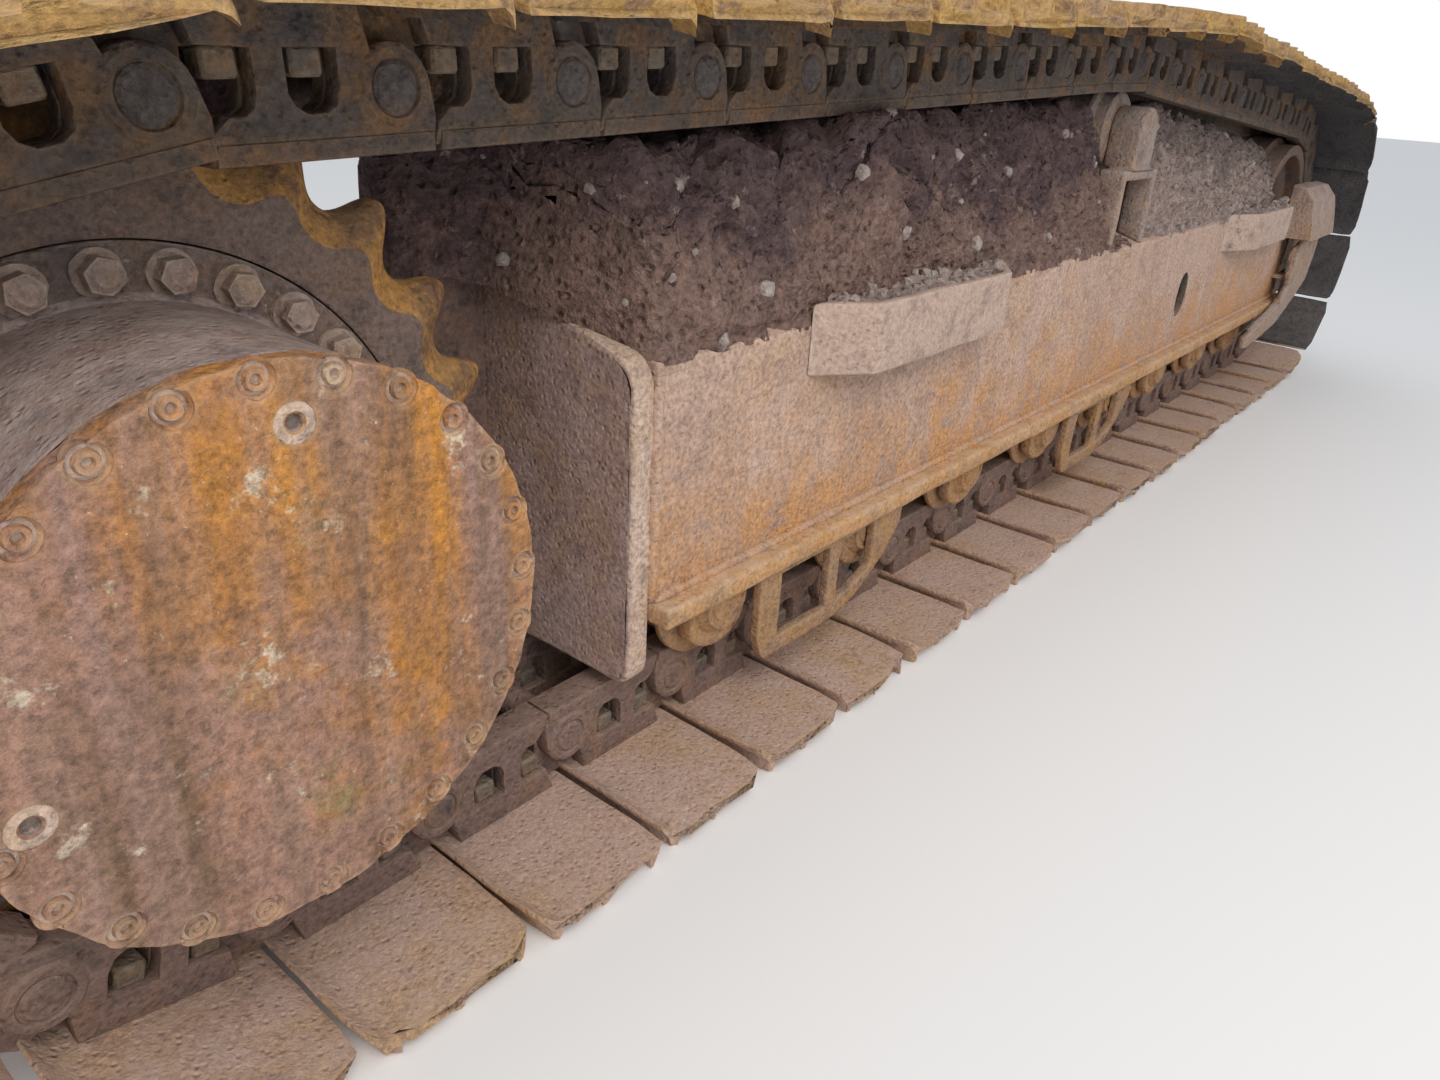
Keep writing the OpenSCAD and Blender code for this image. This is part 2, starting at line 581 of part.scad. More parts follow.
// A row's section: [share of the width, share with full bulge, share of the height]
MUD = [[0, 0, 0], [0.03, 0.01, 0.35], [0.09, 0.03, 0.7], [0.22, 0.08, 1], [0.62, 0.62, 0.86], [0.85, 0.85, 0.68], [1, 1, 0]];
function mud_z(y) = top_at(y) + top_t;
function mud_section(row) = [for (q = MUD)
    let (y = row[1] + (mud_in - row[1]) * (q[0] + (q[1] - q[0]) * row[3])) [y, mud_z(y) + row[2] * q[2]]];
module mud_bank(bank) unit() color([0.38, 0.28, 0.25]) difference() {
    rows = bank[2];
    n = len(rows);
    m = len(MUD);
    polyhedron(
        [for (row = rows, q = mud_section(row)) [bank[0] + (bank[1] - bank[0]) * row[0], q[0], q[1]]],
        concat(
            [[for (k = [m - 1:-1:0]) k]],
            [[for (k = [0:m - 1]) (n - 1) * m + k]],
            [for (j = [0:n - 2], k = [0:m - 1])
                let (a = j * m + k, b = j * m + (k + 1) % m, c = a + m, d = b + m)
                each [[a, b, d], [a, d, c]]]
        ));
    for (k = [0, 1]) {
        translate([carrier_x[k] - portal_w / 2 - 1, -PORTAL_OUT[k] - 1, side_top])
            cube([portal_w + 2, PORTAL_OUT[k] + portal_in + 2, portal_top(k) + 1 - side_top]);
        clamp(k, 1);
        across(carrier_x[k], carrier_mid(k)) translate([0, 0, portal_in])
            cylinder(r = carrier_r + carrier_flange + 14, h = carrier_half - portal_in + 4);
    }
}
module mud_bank_rear() mud_bank(BANKS[0]);
module mud_bank_front() mud_bank(BANKS[1]);

track_loop();
sprocket();
drive_drum();
drive_cover();
travel_motor();
motor_mount();
rear_end_plate();
side_plate_outer();
side_plate_inner();
top_plate();
bottom_rail_outer();
bottom_rail_inner();
step_rear();
step_front();
carrier_bracket_rear();
carrier_bracket_front();
carrier_roller_rear();
carrier_roller_front();
track_roller_1();
track_roller_2();
track_roller_3();
track_roller_4();
track_roller_5();
track_roller_6();
track_roller_7();
track_roller_8();
chain_guard_rear();
chain_guard_front();
idler_wheel();
idler_axle();
idler_block_outer();
idler_block_inner();
idler_yoke();
recoil_spring();
idler_cap();
leg_pad_rear();
leg_pad_front();
mud_bank_rear();
mud_bank_front();
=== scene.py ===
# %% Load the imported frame
import math
from contextlib import contextmanager

import bmesh
import bpy
import numpy as np
from mathutils import Matrix, Vector, noise


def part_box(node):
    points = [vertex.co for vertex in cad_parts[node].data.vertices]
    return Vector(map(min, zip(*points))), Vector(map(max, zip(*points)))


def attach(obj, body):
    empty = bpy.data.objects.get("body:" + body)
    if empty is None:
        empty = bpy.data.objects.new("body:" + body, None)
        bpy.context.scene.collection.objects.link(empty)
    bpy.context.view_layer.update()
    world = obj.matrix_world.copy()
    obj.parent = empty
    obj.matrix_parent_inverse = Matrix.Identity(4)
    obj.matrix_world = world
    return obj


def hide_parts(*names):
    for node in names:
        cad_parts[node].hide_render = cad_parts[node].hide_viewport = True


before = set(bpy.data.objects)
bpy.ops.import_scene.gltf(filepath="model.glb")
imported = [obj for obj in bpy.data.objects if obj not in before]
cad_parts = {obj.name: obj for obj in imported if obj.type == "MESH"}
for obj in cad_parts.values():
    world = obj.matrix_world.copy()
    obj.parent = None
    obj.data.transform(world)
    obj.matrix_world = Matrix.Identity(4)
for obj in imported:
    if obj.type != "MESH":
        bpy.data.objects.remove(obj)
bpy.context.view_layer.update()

# %% [markdown]
# # A crawler track unit, dressed over its CAD frame
# The solids already have the right sizes and places. This lesson gives them what makes such a
# machine look real: forged links with windows, bent shoes, bolts, worn teeth, packed mud and
# several kinds of rust. Sizes in the cells are in millimetres in the unit's own frame, where X
# starts at the sprocket's middle and Y at the track's middle plane. One function turns them into
# the frame's metres, so that every piece lands on the solid that it belongs to.

# %% From the unit's millimetres to the frame's metres
def middle(node):
    low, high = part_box(node)
    return (low + high) / 2


IDLER_X = 3942
MID_X = IDLER_X - middle("idler_wheel").x * 1000
MID_Y = 15
SPR_Z = middle("drive_cover").z * 1000
IDLER_Z = middle("idler_wheel").z * 1000


def metres(points):
    return (np.array(points, float) - (MID_X, MID_Y, 0)) / 1000


def placed(name, data):
    thing = bpy.data.objects.new(name, data)
    bpy.context.scene.collection.objects.link(thing)
    return thing


print("unit's middle", round(MID_X, 2), "sprocket", round(SPR_Z, 1), "idler", round(IDLER_Z, 1))

# %% [markdown]
# # The camera
# The photograph was taken from beside the final drive, close to the top of the chain. The camera's
# place, turn and lens were worked out from the evenly spaced shoes and the round cover. A matrix
# built from the view's own right, up and back directions sets all three turns at once.

# %% Camera
PITCH, YAW, ROLL = (math.radians(a) for a in (25.09, 37.72, 3.84))
SENSOR, FOCAL_PIXELS, PHOTO_WIDTH = 36, 1018.7, 1440
CAMERA_PLACE = (-341, -958, 957)
forward = Vector((math.cos(PITCH) * math.cos(YAW), math.cos(PITCH) * math.sin(YAW), -math.sin(PITCH)))
level_right = forward.cross(Vector((0, 0, 1))).normalized()
level_down = forward.cross(level_right)
right = math.cos(ROLL) * level_right - math.sin(ROLL) * level_down
down = math.sin(ROLL) * level_right + math.cos(ROLL) * level_down
lens = bpy.data.cameras.new("photo_view")
lens.sensor_width = SENSOR
lens.lens = SENSOR * FOCAL_PIXELS / PHOTO_WIDTH
lens.clip_start = 0.02
camera = placed("photo_view", lens)
turn = Matrix((right, -down, -forward)).transposed().to_4x4()
camera.matrix_world = Matrix.Translation(Vector(metres(CAMERA_PLACE))) @ turn
bpy.context.scene.camera = camera
print("camera at", [round(v, 3) for v in camera.matrix_world.translation])

# %% [markdown]
# # Helpers for nodes
# Shader trees and geometry trees are wired in the same way, so one small function serves both: it
# adds a node, sets its options, and either links or fills each of its inputs. A few more functions
# give the nodes that return most often: sums, noise, a remapped range, and a group's own ends.

# %% One node, with its options and inputs
def add(tree, kind, inputs=(), **options):
    node = tree.nodes.new(kind)
    for key, value in options.items():
        setattr(node, key, value)
    for key, value in dict(inputs).items():
        socket = node.inputs[key]
        if isinstance(value, bpy.types.NodeSocket):
            tree.links.new(value, socket)
        elif isinstance(value, tuple) and socket.type == "RGBA":
            socket.default_value = (*value[:3], 1.0)
        else:
            socket.default_value = value
    return node


def maths(tree, operation, a, b=0.0, clamp=False):
    return add(tree, "ShaderNodeMath", {0: a, 1: b}, operation=operation, use_clamp=clamp).outputs[0]


def plus(tree, a, b):
    return maths(tree, "ADD", a, b)


def times(tree, a, b, clamp=False):
    return maths(tree, "MULTIPLY", a, b, clamp)


def minus(tree, a, b):
    return maths(tree, "SUBTRACT", a, b)


def along_z(tree, value):
    return add(tree, "ShaderNodeCombineXYZ", {2: value}).outputs[0]


def blend(tree, mask, a, b):
    return add(tree, "ShaderNodeMix", {0: mask, 6: a, 7: b}, data_type="RGBA").outputs[2]


def remap(tree, value, low, high, to_low=0.0, to_high=1.0, **options):
    return add(tree, "ShaderNodeMapRange", {
        "Value": value, "From Min": low, "From Max": high, "To Min": to_low, "To Max": to_high},
        **options).outputs[0]


def object_place(tree):
    return add(tree, "ShaderNodeTexCoord").outputs["Object"]


def noise_of(tree, scale, detail, rough=0.5, place=None):
    place = object_place(tree) if place is None else place
    return add(tree, "ShaderNodeTexNoise", {
        "Vector": place, "Scale": scale, "Detail": detail, "Roughness": rough}).outputs[0]


# %% A node group from its inputs and outputs
FLOAT, COLOR, COUNT = "NodeSocketFloat", "NodeSocketColor", "NodeSocketInt"
MESH, OBJECT, MATERIAL = "NodeSocketGeometry", "NodeSocketObject", "NodeSocketMaterial"
SHADER, GEOMETRY = "ShaderNodeTree", "GeometryNodeTree"


def group(name, kind, inputs, outputs):
    tree = bpy.data.node_groups.new(name, kind)
    for label, socket, value in inputs:
        item = tree.interface.new_socket(label, in_out="INPUT", socket_type=socket)
        if value is not None:
            item.default_value = value
    for label, socket in outputs:
        tree.interface.new_socket(label, in_out="OUTPUT", socket_type=socket)
    return tree, tree.nodes.new("NodeGroupInput").outputs


def ends(tree, **results):
    last = tree.nodes.new("NodeGroupOutput").inputs
    for label, value in results.items():
        tree.links.new(value, last[label])
    print("group", tree.name)


# %% [markdown]
# # Effects that the finishes share
# Old machine steel has the same few layers everywhere: blotches of rust, fine speckle, streaks
# where water ran down, dust that lies on what faces up, bright worn edges, and pits. Each layer
# is a node group with its own inputs. A finish places the groups that it needs and gives each
# its own values, which is easier to tune than one large tree for every piece.

# %% Patches: two colours that meet along a ragged edge
COLOR_AND_MASK = [("Color", COLOR), ("Mask", FLOAT)]
patches, given = group("patches", SHADER, [
    ("Color", COLOR, None), ("Patch", COLOR, None), ("Scale", FLOAT, 8.0), ("Amount", FLOAT, 0.5),
    ("Softness", FLOAT, 0.12), ("Shift", FLOAT, 0.0)], COLOR_AND_MASK)
shift = add(patches, "ShaderNodeCombineXYZ", {k: given["Shift"] for k in range(3)})
spot = add(patches, "ShaderNodeMapping", {"Vector": object_place(patches), "Location": shift.outputs[0]})
cloud = noise_of(patches, given["Scale"], 5.0, 0.72, spot.outputs[0])
edge = minus(patches, 1.0, given["Amount"])
level = remap(patches, cloud, minus(patches, edge, given["Softness"]), plus(patches, edge, given["Softness"]),
              interpolation_type="SMOOTHSTEP")
ends(patches, Color=blend(patches, level, given["Color"], given["Patch"]), Mask=level)

# %% Speckle: fine light and dark grain, for colour and for bump
speckle, given = group("speckle", SHADER, [
    ("Color", COLOR, None), ("Strength", FLOAT, 0.4), ("Scale", FLOAT, 140.0)],
    [("Color", COLOR), ("Height", FLOAT)])
grain = noise_of(speckle, given["Scale"], 4.0, 0.75)
strength = given["Strength"]
tone = remap(speckle, grain, 0.32, 0.68, minus(speckle, 1.0, strength), plus(speckle, 1.0, strength))
shade = add(speckle, "ShaderNodeVectorMath", {0: given["Color"], "Scale": tone}, operation="SCALE")
ends(speckle, Color=shade.outputs[0], Height=grain)

# %% Streaks: stains that run down
streaks, given = group("streaks", SHADER, [
    ("Color", COLOR, None), ("Stain", COLOR, None), ("Scale", FLOAT, 14.0), ("Amount", FLOAT, 0.5)],
    COLOR_AND_MASK)
down_scale = add(streaks, "ShaderNodeMapping", {"Vector": object_place(streaks), "Scale": (1.0, 1.0, 0.09)})
run = noise_of(streaks, given["Scale"], 5.0, 0.6, down_scale.outputs[0])
wash = remap(streaks, run, 0.45, 0.68, 0.0, given["Amount"])
ends(streaks, Color=blend(streaks, wash, given["Color"], given["Stain"]), Mask=wash)

# %% Dust: lies on what faces up, and thins out down the sides
dust, given = group("dust", SHADER, [
    ("Color", COLOR, None), ("Dust", COLOR, None), ("Amount", FLOAT, 0.5), ("Sides", FLOAT, 0.3),
    ("Scale", FLOAT, 24.0)], COLOR_AND_MASK)
facing = add(dust, "ShaderNodeSeparateXYZ", {0: add(dust, "ShaderNodeNewGeometry").outputs["Normal"]})
upward = remap(dust, facing.outputs[2], 0.0, 0.8, given["Sides"], 1.0)
cover = remap(dust, noise_of(dust, given["Scale"], 4.0, 0.75), 0.3, 0.62)
lies = times(dust, times(dust, cover, upward), given["Amount"], True)
ends(dust, Color=blend(dust, lies, given["Color"], given["Dust"]), Mask=lies)

# %% Worn edges: where a rounded normal leaves the flat one, something has rubbed
worn, given = group("worn_edges", SHADER, [
    ("Color", COLOR, None), ("Bare", COLOR, None), ("Radius", FLOAT, 0.008), ("Amount", FLOAT, 0.7)],
    COLOR_AND_MASK)
round_normal = add(worn, "ShaderNodeBevel", {"Radius": given["Radius"]}, samples=2)
flat_normal = add(worn, "ShaderNodeNewGeometry").outputs["Normal"]
same = add(worn, "ShaderNodeVectorMath", {0: round_normal.outputs[0], 1: flat_normal},
           operation="DOT_PRODUCT")
rubbed = remap(worn, same.outputs["Value"], 0.995, 0.8)
broken = remap(worn, noise_of(worn, 45.0, 5.0), 0.38, 0.58)
bare = times(worn, times(worn, rubbed, broken), given["Amount"], True)
ends(worn, Color=blend(worn, bare, given["Color"], given["Bare"]), Mask=bare)

# %% Pits: the height of rough, eaten steel
pits, given = group("pits", SHADER, [("Scale", FLOAT, 90.0), ("Depth", FLOAT, 0.6)], [("Height", FLOAT)])
holes = add(pits, "ShaderNodeTexVoronoi", {"Vector": object_place(pits), "Scale": given["Scale"]})
sunk = times(pits, remap(pits, holes.outputs["Distance"], 0.0, 0.35), given["Depth"])
ends(pits, Height=plus(pits, sunk, times(pits, noise_of(pits, 16.0, 6.0, 0.72), 2.2)))

# %% [markdown]
# # Finishes
# Each finish is a short row of colours and amounts. The recipe stacks the layers in the order in
# which a machine gets them: paint or bare steel, rust blotches, stains, grain, rubbed edges and
# last the dust. Colours were chosen from the photograph.

# %% A stack of layers, and the surface that it ends in
def place_group(tree, name, **inputs):
    return add(tree, "ShaderNodeGroup", inputs, node_tree=bpy.data.node_groups[name])


def stacked(tree, color, layers):
    first = {}
    for name, inputs in layers:
        node = place_group(tree, name, Color=color, **inputs)
        first.setdefault(name, node)
        color = node.outputs[0]
    return color, first


def blank_finish(name):
    material = bpy.data.materials.new(name)
    material.use_nodes = True
    return material, material.node_tree


def surface(tree, color, roughness, height, relief, gloss):
    bump = add(tree, "ShaderNodeBump", {"Height": height, "Distance": relief})
    shader = tree.nodes["Principled BSDF"].inputs
    for key, value in (("Base Color", color), ("Roughness", roughness), ("Normal", bump.outputs[0])):
        tree.links.new(value, shader[key])
    shader["Specular IOR Level"].default_value = gloss


def height_share(tree):
    return add(tree, "ShaderNodeSeparateXYZ", {0: object_place(tree)}).outputs[2]


# %% The recipe of a weathered finish
def finish_of(name, base, rust, dark, dirt, rust_size=9.0, rust_share=0.5, dark_size=22.0, dark_share=0.42,
              stain=0.0, grain=0.42, fleck=0.29, bare=None, bare_share=0.8, dust_share=0.5, sides=0.3,
              rough=0.85, pit=0.8, low=None, low_top=0.5, low_foot=0.3):
    material, tree = blank_finish(name)
    layers = [("patches", {"Patch": rust, "Scale": rust_size, "Amount": rust_share})]
    if low:
        share = remap(tree, height_share(tree), low_foot, low_top, 0.66, 0.3)
        layers.append(("patches", {
            "Patch": low, "Scale": 5.0, "Amount": share, "Softness": 0.16, "Shift": 8.0}))
    layers.append(("patches", {
        "Patch": dark, "Scale": dark_size, "Amount": dark_share, "Softness": 0.09, "Shift": 3.7}))
    if stain:
        layers.append(("streaks", {"Stain": dark, "Amount": stain}))
    layers.append(("speckle", {"Strength": grain}))
    layers.append(("patches", {
        "Patch": dirt, "Scale": 75.0, "Amount": fleck, "Softness": 0.03, "Shift": 4.4}))
    if bare:
        layers.append(("worn_edges", {"Bare": bare, "Amount": bare_share}))
    layers.append(("dust", {"Dust": dirt, "Amount": dust_share, "Sides": sides}))
    color, first = stacked(tree, base, layers)
    rougher = remap(tree, first["patches"].outputs["Mask"], 0.0, 1.0, rough - 0.12, min(rough + 0.08, 1.0))
    eaten = place_group(tree, "pits", Depth=pit).outputs[0]
    height = plus(tree, eaten, times(tree, first["speckle"].outputs["Height"], 0.9))
    surface(tree, color, rougher, height, 0.003, 0.3)
    return material


# %% The finishes of this unit
upper_steel = finish_of(
    "link_steel", (0.09, 0.075, 0.068), (0.2, 0.11, 0.05), (0.05, 0.045, 0.045), (0.30, 0.22, 0.18),
    rust_share=0.46, dust_share=0.8, sides=0.12, bare=(0.26, 0.17, 0.1))
rail_band_steel = finish_of(
    "rail_band_steel", (0.12, 0.088, 0.068), (0.26, 0.13, 0.055), (0.06, 0.05, 0.045), (0.30, 0.22, 0.18),
    rust_share=0.42, rust_size=14.0, sides=0.12, bare=(0.3, 0.2, 0.12), rough=0.7)
pin_steel = finish_of(
    "pin_steel", (0.11, 0.095, 0.09), (0.17, 0.11, 0.07), (0.06, 0.05, 0.05), (0.3, 0.22, 0.18),
    rust_share=0.35, dust_share=0.7, sides=0.15)
nut_steel = finish_of(
    "nut_steel", (0.15, 0.125, 0.105), (0.22, 0.14, 0.08), (0.08, 0.07, 0.07), (0.34, 0.27, 0.2),
    dust_share=0.7, bare=(0.3, 0.24, 0.18))
shoe_steel = finish_of(
    "shoe_steel", (0.53, 0.36, 0.285), (0.51, 0.32, 0.18), (0.3, 0.2, 0.165), (0.6, 0.45, 0.38),
    rust_size=5.0, rust_share=0.45, dark_share=0.36, dust_share=0.55, sides=0.1, bare=(0.6, 0.4, 0.2),
    pit=0.7)
low_link_steel = finish_of(
    "low_link_steel", (0.2, 0.13, 0.11), (0.26, 0.14, 0.08), (0.1, 0.075, 0.07), (0.36, 0.25, 0.2),
    rust_share=0.4, dust_share=0.8, bare=(0.36, 0.24, 0.16))
top_shoe_steel = finish_of(
    "top_shoe_steel", (0.44, 0.27, 0.12), (0.48, 0.28, 0.08), (0.22, 0.13, 0.08), (0.56, 0.42, 0.34),
    rust_size=6.0, dust_share=0.3, sides=0.1, bare=(0.6, 0.4, 0.18), pit=0.7)
# A dark finish that is painted shade on the shoes' undersides and on the front shoes.
front_shoe_steel = finish_of(
    "front_shoe_steel", (0.075, 0.07, 0.072), (0.13, 0.1, 0.08), (0.045, 0.045, 0.048), (0.26, 0.22, 0.2),
    rust_share=0.35, sides=0.1)
guard_steel = finish_of(
    "guard_steel", (0.35, 0.21, 0.12), (0.4, 0.22, 0.09), (0.18, 0.11, 0.08), (0.45, 0.33, 0.25),
    dust_share=0.6, bare=(0.5, 0.34, 0.2))
sprocket_steel = finish_of(
    "sprocket_steel", (0.21, 0.15, 0.125), (0.26, 0.16, 0.1), (0.13, 0.095, 0.085), (0.3, 0.2, 0.15),
    sides=0.2, rust_share=0.4)
tooth_steel = finish_of(
    "tooth_steel", (0.42, 0.225, 0.075), (0.52, 0.26, 0.07), (0.22, 0.12, 0.06), (0.5, 0.33, 0.2),
    dust_share=0.3, rust_size=14.0, dark_share=0.46)
hub_steel = finish_of(
    "hub_steel", (0.19, 0.145, 0.12), (0.22, 0.13, 0.08), (0.1, 0.08, 0.075), (0.44, 0.34, 0.3),
    dust_share=0.8, sides=0.25, rust_share=0.45, rust_size=20.0, fleck=0.36, grain=0.55)
drum_steel = finish_of(
    "drum_steel", (0.31, 0.215, 0.19), (0.3, 0.17, 0.11), (0.17, 0.12, 0.11), (0.54, 0.44, 0.41),
    dust_share=0.7, sides=0.4, rust_share=0.4, fleck=0.34, grain=0.5)
plate_steel = finish_of(
    "plate_steel", (0.54, 0.37, 0.29), (0.52, 0.33, 0.21), (0.4, 0.26, 0.2), (0.64, 0.5, 0.42),
    stain=0.6, bare=(0.7, 0.52, 0.4), dust_share=0.4, rust_share=0.42, rust_size=4.0,
    low=(0.56, 0.28, 0.11), low_top=0.54, low_foot=0.31)
end_steel = finish_of(
    "end_plate_steel", (0.46, 0.33, 0.3), (0.42, 0.28, 0.21), (0.32, 0.22, 0.205), (0.42, 0.31, 0.26),
    bare=(0.7, 0.55, 0.42), bare_share=1.0, dust_share=0.35, pit=0.7)
edge_steel = finish_of(
    "end_plate_edge", (0.58, 0.43, 0.35), (0.5, 0.34, 0.22), (0.36, 0.25, 0.2), (0.66, 0.52, 0.43),
    bare=(0.68, 0.52, 0.4), grain=0.5, pit=0.9)
lip_steel = finish_of(
    "lip_steel", (0.56, 0.32, 0.16), (0.5, 0.25, 0.08), (0.33, 0.19, 0.1), (0.66, 0.48, 0.34),
    dust_share=0.75, bare=(0.68, 0.5, 0.34))
step_steel = finish_of(
    "step_steel", (0.52, 0.375, 0.3), (0.48, 0.38, 0.22), (0.33, 0.23, 0.195), (0.62, 0.48, 0.4),
    dust_share=0.6, bare=(0.72, 0.58, 0.46), rust_size=4.0, rust_share=0.3, grain=0.3)
bracket_steel = finish_of(
    "bracket_steel", (0.3, 0.23, 0.2), (0.36, 0.24, 0.17), (0.18, 0.14, 0.13), (0.48, 0.4, 0.37),
    dust_share=0.85, bare=(0.5, 0.4, 0.32))
roller_steel = finish_of(
    "roller_steel", (0.42, 0.24, 0.12), (0.46, 0.24, 0.09), (0.2, 0.12, 0.09), (0.45, 0.34, 0.26),
    dust_share=0.6, sides=0.35)
cap_steel = finish_of(
    "cap_steel", (0.36, 0.26, 0.22), (0.4, 0.26, 0.16), (0.22, 0.16, 0.14), (0.5, 0.4, 0.36),
    dust_share=0.8, bare=(0.62, 0.52, 0.44))
motor_paint = finish_of(
    "motor_paint", (0.14, 0.12, 0.11), (0.3, 0.18, 0.1), (0.07, 0.06, 0.06), (0.42, 0.33, 0.28),
    dust_share=0.7, rust_share=0.3, bare=(0.4, 0.26, 0.16))
spring_paint = finish_of(
    "spring_paint", (0.09, 0.085, 0.08), (0.2, 0.12, 0.07), (0.05, 0.05, 0.05), (0.35, 0.28, 0.24),
    dust_share=0.6)
print("finishes", len([m for m in bpy.data.materials if m.use_nodes]))

# %% [markdown]
# # The cover's rust
# The drive's cover is what the eye meets first. Its rust changes from orange at the right and the
# top to a mauve brown at the lower left, with brown runs down its face and pale lime marks. A
# gradient across the cover shifts the shares of the two rusts, so the change is broad and ragged.

# %% The finish of the drive's cover
LEAN_X, LEAN_Z, LEAN_REACH = 0.8, 0.6, 0.2
cover_steel, tree = blank_finish("cover_rust")
place = add(tree, "ShaderNodeSeparateXYZ", {0: object_place(tree)}).outputs
across_cover = plus(tree, times(tree, place[0], LEAN_X), times(tree, place[2], LEAN_Z))
halfway = middle("drive_cover").x * LEAN_X + middle("drive_cover").z * LEAN_Z
lean = remap(tree, across_cover, halfway - LEAN_REACH, halfway + LEAN_REACH, 0.32, 0.72)
less = minus(tree, lean, 0.14)
color, first = stacked(tree, (0.35, 0.19, 0.135), [
    ("patches", {"Patch": (0.4, 0.175, 0.05), "Scale": 6.0, "Amount": lean}),
    ("patches", {"Patch": (0.52, 0.22, 0.035), "Scale": 9.0, "Amount": less, "Shift": 9.1}),
    ("patches", {"Patch": (0.27, 0.2, 0.085), "Scale": 9.0, "Amount": 0.36, "Softness": 0.1, "Shift": 6.6}),
    ("patches", {"Patch": (0.24, 0.12, 0.07), "Scale": 16.0, "Amount": 0.34, "Shift": 2.2}),
    ("streaks", {"Stain": (0.3, 0.17, 0.13), "Scale": 13.0, "Amount": 1.2}),
    ("streaks", {"Stain": (0.19, 0.105, 0.06), "Scale": 20.0, "Amount": 1.1}),
    ("streaks", {"Stain": (0.46, 0.3, 0.24), "Scale": 26.0, "Amount": 0.3}),
    ("patches", {"Patch": (0.6, 0.49, 0.36), "Scale": 18.0, "Amount": 0.355, "Softness": 0.05, "Shift": 5.5}),
    ("patches", {"Patch": (0.58, 0.43, 0.31), "Scale": 120.0, "Amount": 0.32, "Softness": 0.04,
                 "Shift": 1.5}),
    ("speckle", {"Strength": 0.45, "Scale": 130.0}),
    ("worn_edges", {"Bare": (0.62, 0.4, 0.24), "Amount": 0.8})])
dull = remap(tree, first["patches"].outputs["Mask"], 0.0, 1.0, 0.72, 0.9)
eaten = place_group(tree, "pits", Depth=0.8, Scale=70.0).outputs[0]
surface(tree, color, dull, plus(tree, eaten, first["speckle"].outputs["Height"]), 0.003, 0.5)
print("material", cover_steel.name)

# %% [markdown]
# # Earth and stones
# Packed earth gets painted shade higher up, under the chain, and is pinker and paler where it has dried
# in the open. It has hardly any gloss, and crumbs of several sizes. Height decides how much painted shade it
# gets.

# %% The finishes of the imported mud and its pebbles
def earth(name, shade_colour, dry, pale, shade_from, shade_to):
    material, tree = blank_finish(name)
    # More of the dark colour higher up, under the chain, is painted shade.
    painted_shade_share = remap(tree, height_share(tree), shade_from, shade_to, 0.35, 0.7)
    color, first = stacked(tree, dry, [
        ("patches", {"Patch": shade_colour, "Scale": 4.0, "Amount": painted_shade_share, "Softness": 0.1}),
        ("patches", {"Patch": pale, "Scale": 30.0, "Amount": 0.36, "Softness": 0.06, "Shift": 1.3}),
        ("speckle", {"Strength": 0.55, "Scale": 90.0}),
        ("dust", {"Dust": pale, "Amount": 0.5, "Sides": 0.1})])
    fine = first["speckle"].outputs["Height"]
    crumbs = place_group(tree, "pits", Depth=1.6, Scale=60.0).outputs[0]
    roughness = plus(tree, 0.9, times(tree, fine, 0.1))
    surface(tree, color, roughness, plus(tree, crumbs, times(tree, fine, 1.6)), 0.006, 0.15)
    return material


mud_dark = earth("mud_dark", (0.105, 0.068, 0.072), (0.235, 0.15, 0.122), (0.32, 0.23, 0.205), 0.68, 0.9)
mud_pale = earth("mud_pale", (0.2, 0.15, 0.135), (0.36, 0.27, 0.24), (0.46, 0.38, 0.35), 0.66, 0.9)
stone = finish_of(
    "stone", (0.4, 0.36, 0.34), (0.3, 0.24, 0.22), (0.2, 0.15, 0.13), (0.46, 0.36, 0.3),
    rust_size=26.0, dust_share=0.6, sides=0.4)
print("earth", mud_dark.name, mud_pale.name, stone.name)

# %% [markdown]
# # Helpers for meshes
# Three ways of making a solid cover most of this machine: an outline that is filled and given a
# thickness and rounded rims, a profile that is turned round an axle, and a row of sections that
# are skinned. Each ends as a plain mesh whose place is in its own points.

# %% A mesh from points and faces, merged and with normals outward
@contextmanager
def edited(mesh):
    shell = bmesh.new()
    shell.from_mesh(mesh)
    yield shell
    shell.to_mesh(mesh)
    shell.free()


def smooth(mesh, sharp):
    mesh.shade_smooth()
    mesh.set_sharp_from_angle(angle=math.radians(sharp))


def solid(name, points, faces, material, sharp=35):
    mesh = bpy.data.meshes.new(name)
    mesh.from_pydata([tuple(p) for p in points], [], [tuple(f) for f in faces])
    with edited(mesh) as shell:
        bmesh.ops.remove_doubles(shell, verts=shell.verts, dist=1e-6)
        bmesh.ops.recalc_face_normals(shell, faces=shell.faces)
    smooth(mesh, sharp)
    mesh.materials.append(material)
    return placed(name, mesh)


def skin(rows, n, closed=False):
    faces = [(j * n + i, j * n + (i + 1) % n, (j + 1) % rows * n + (i + 1) % n, (j + 1) % rows * n + i)
             for j in range(rows if closed else rows - 1) for i in range(n)]
    if not closed:
        faces += [tuple(range(n)), tuple((rows - 1) * n + i for i in range(n))]
    return faces


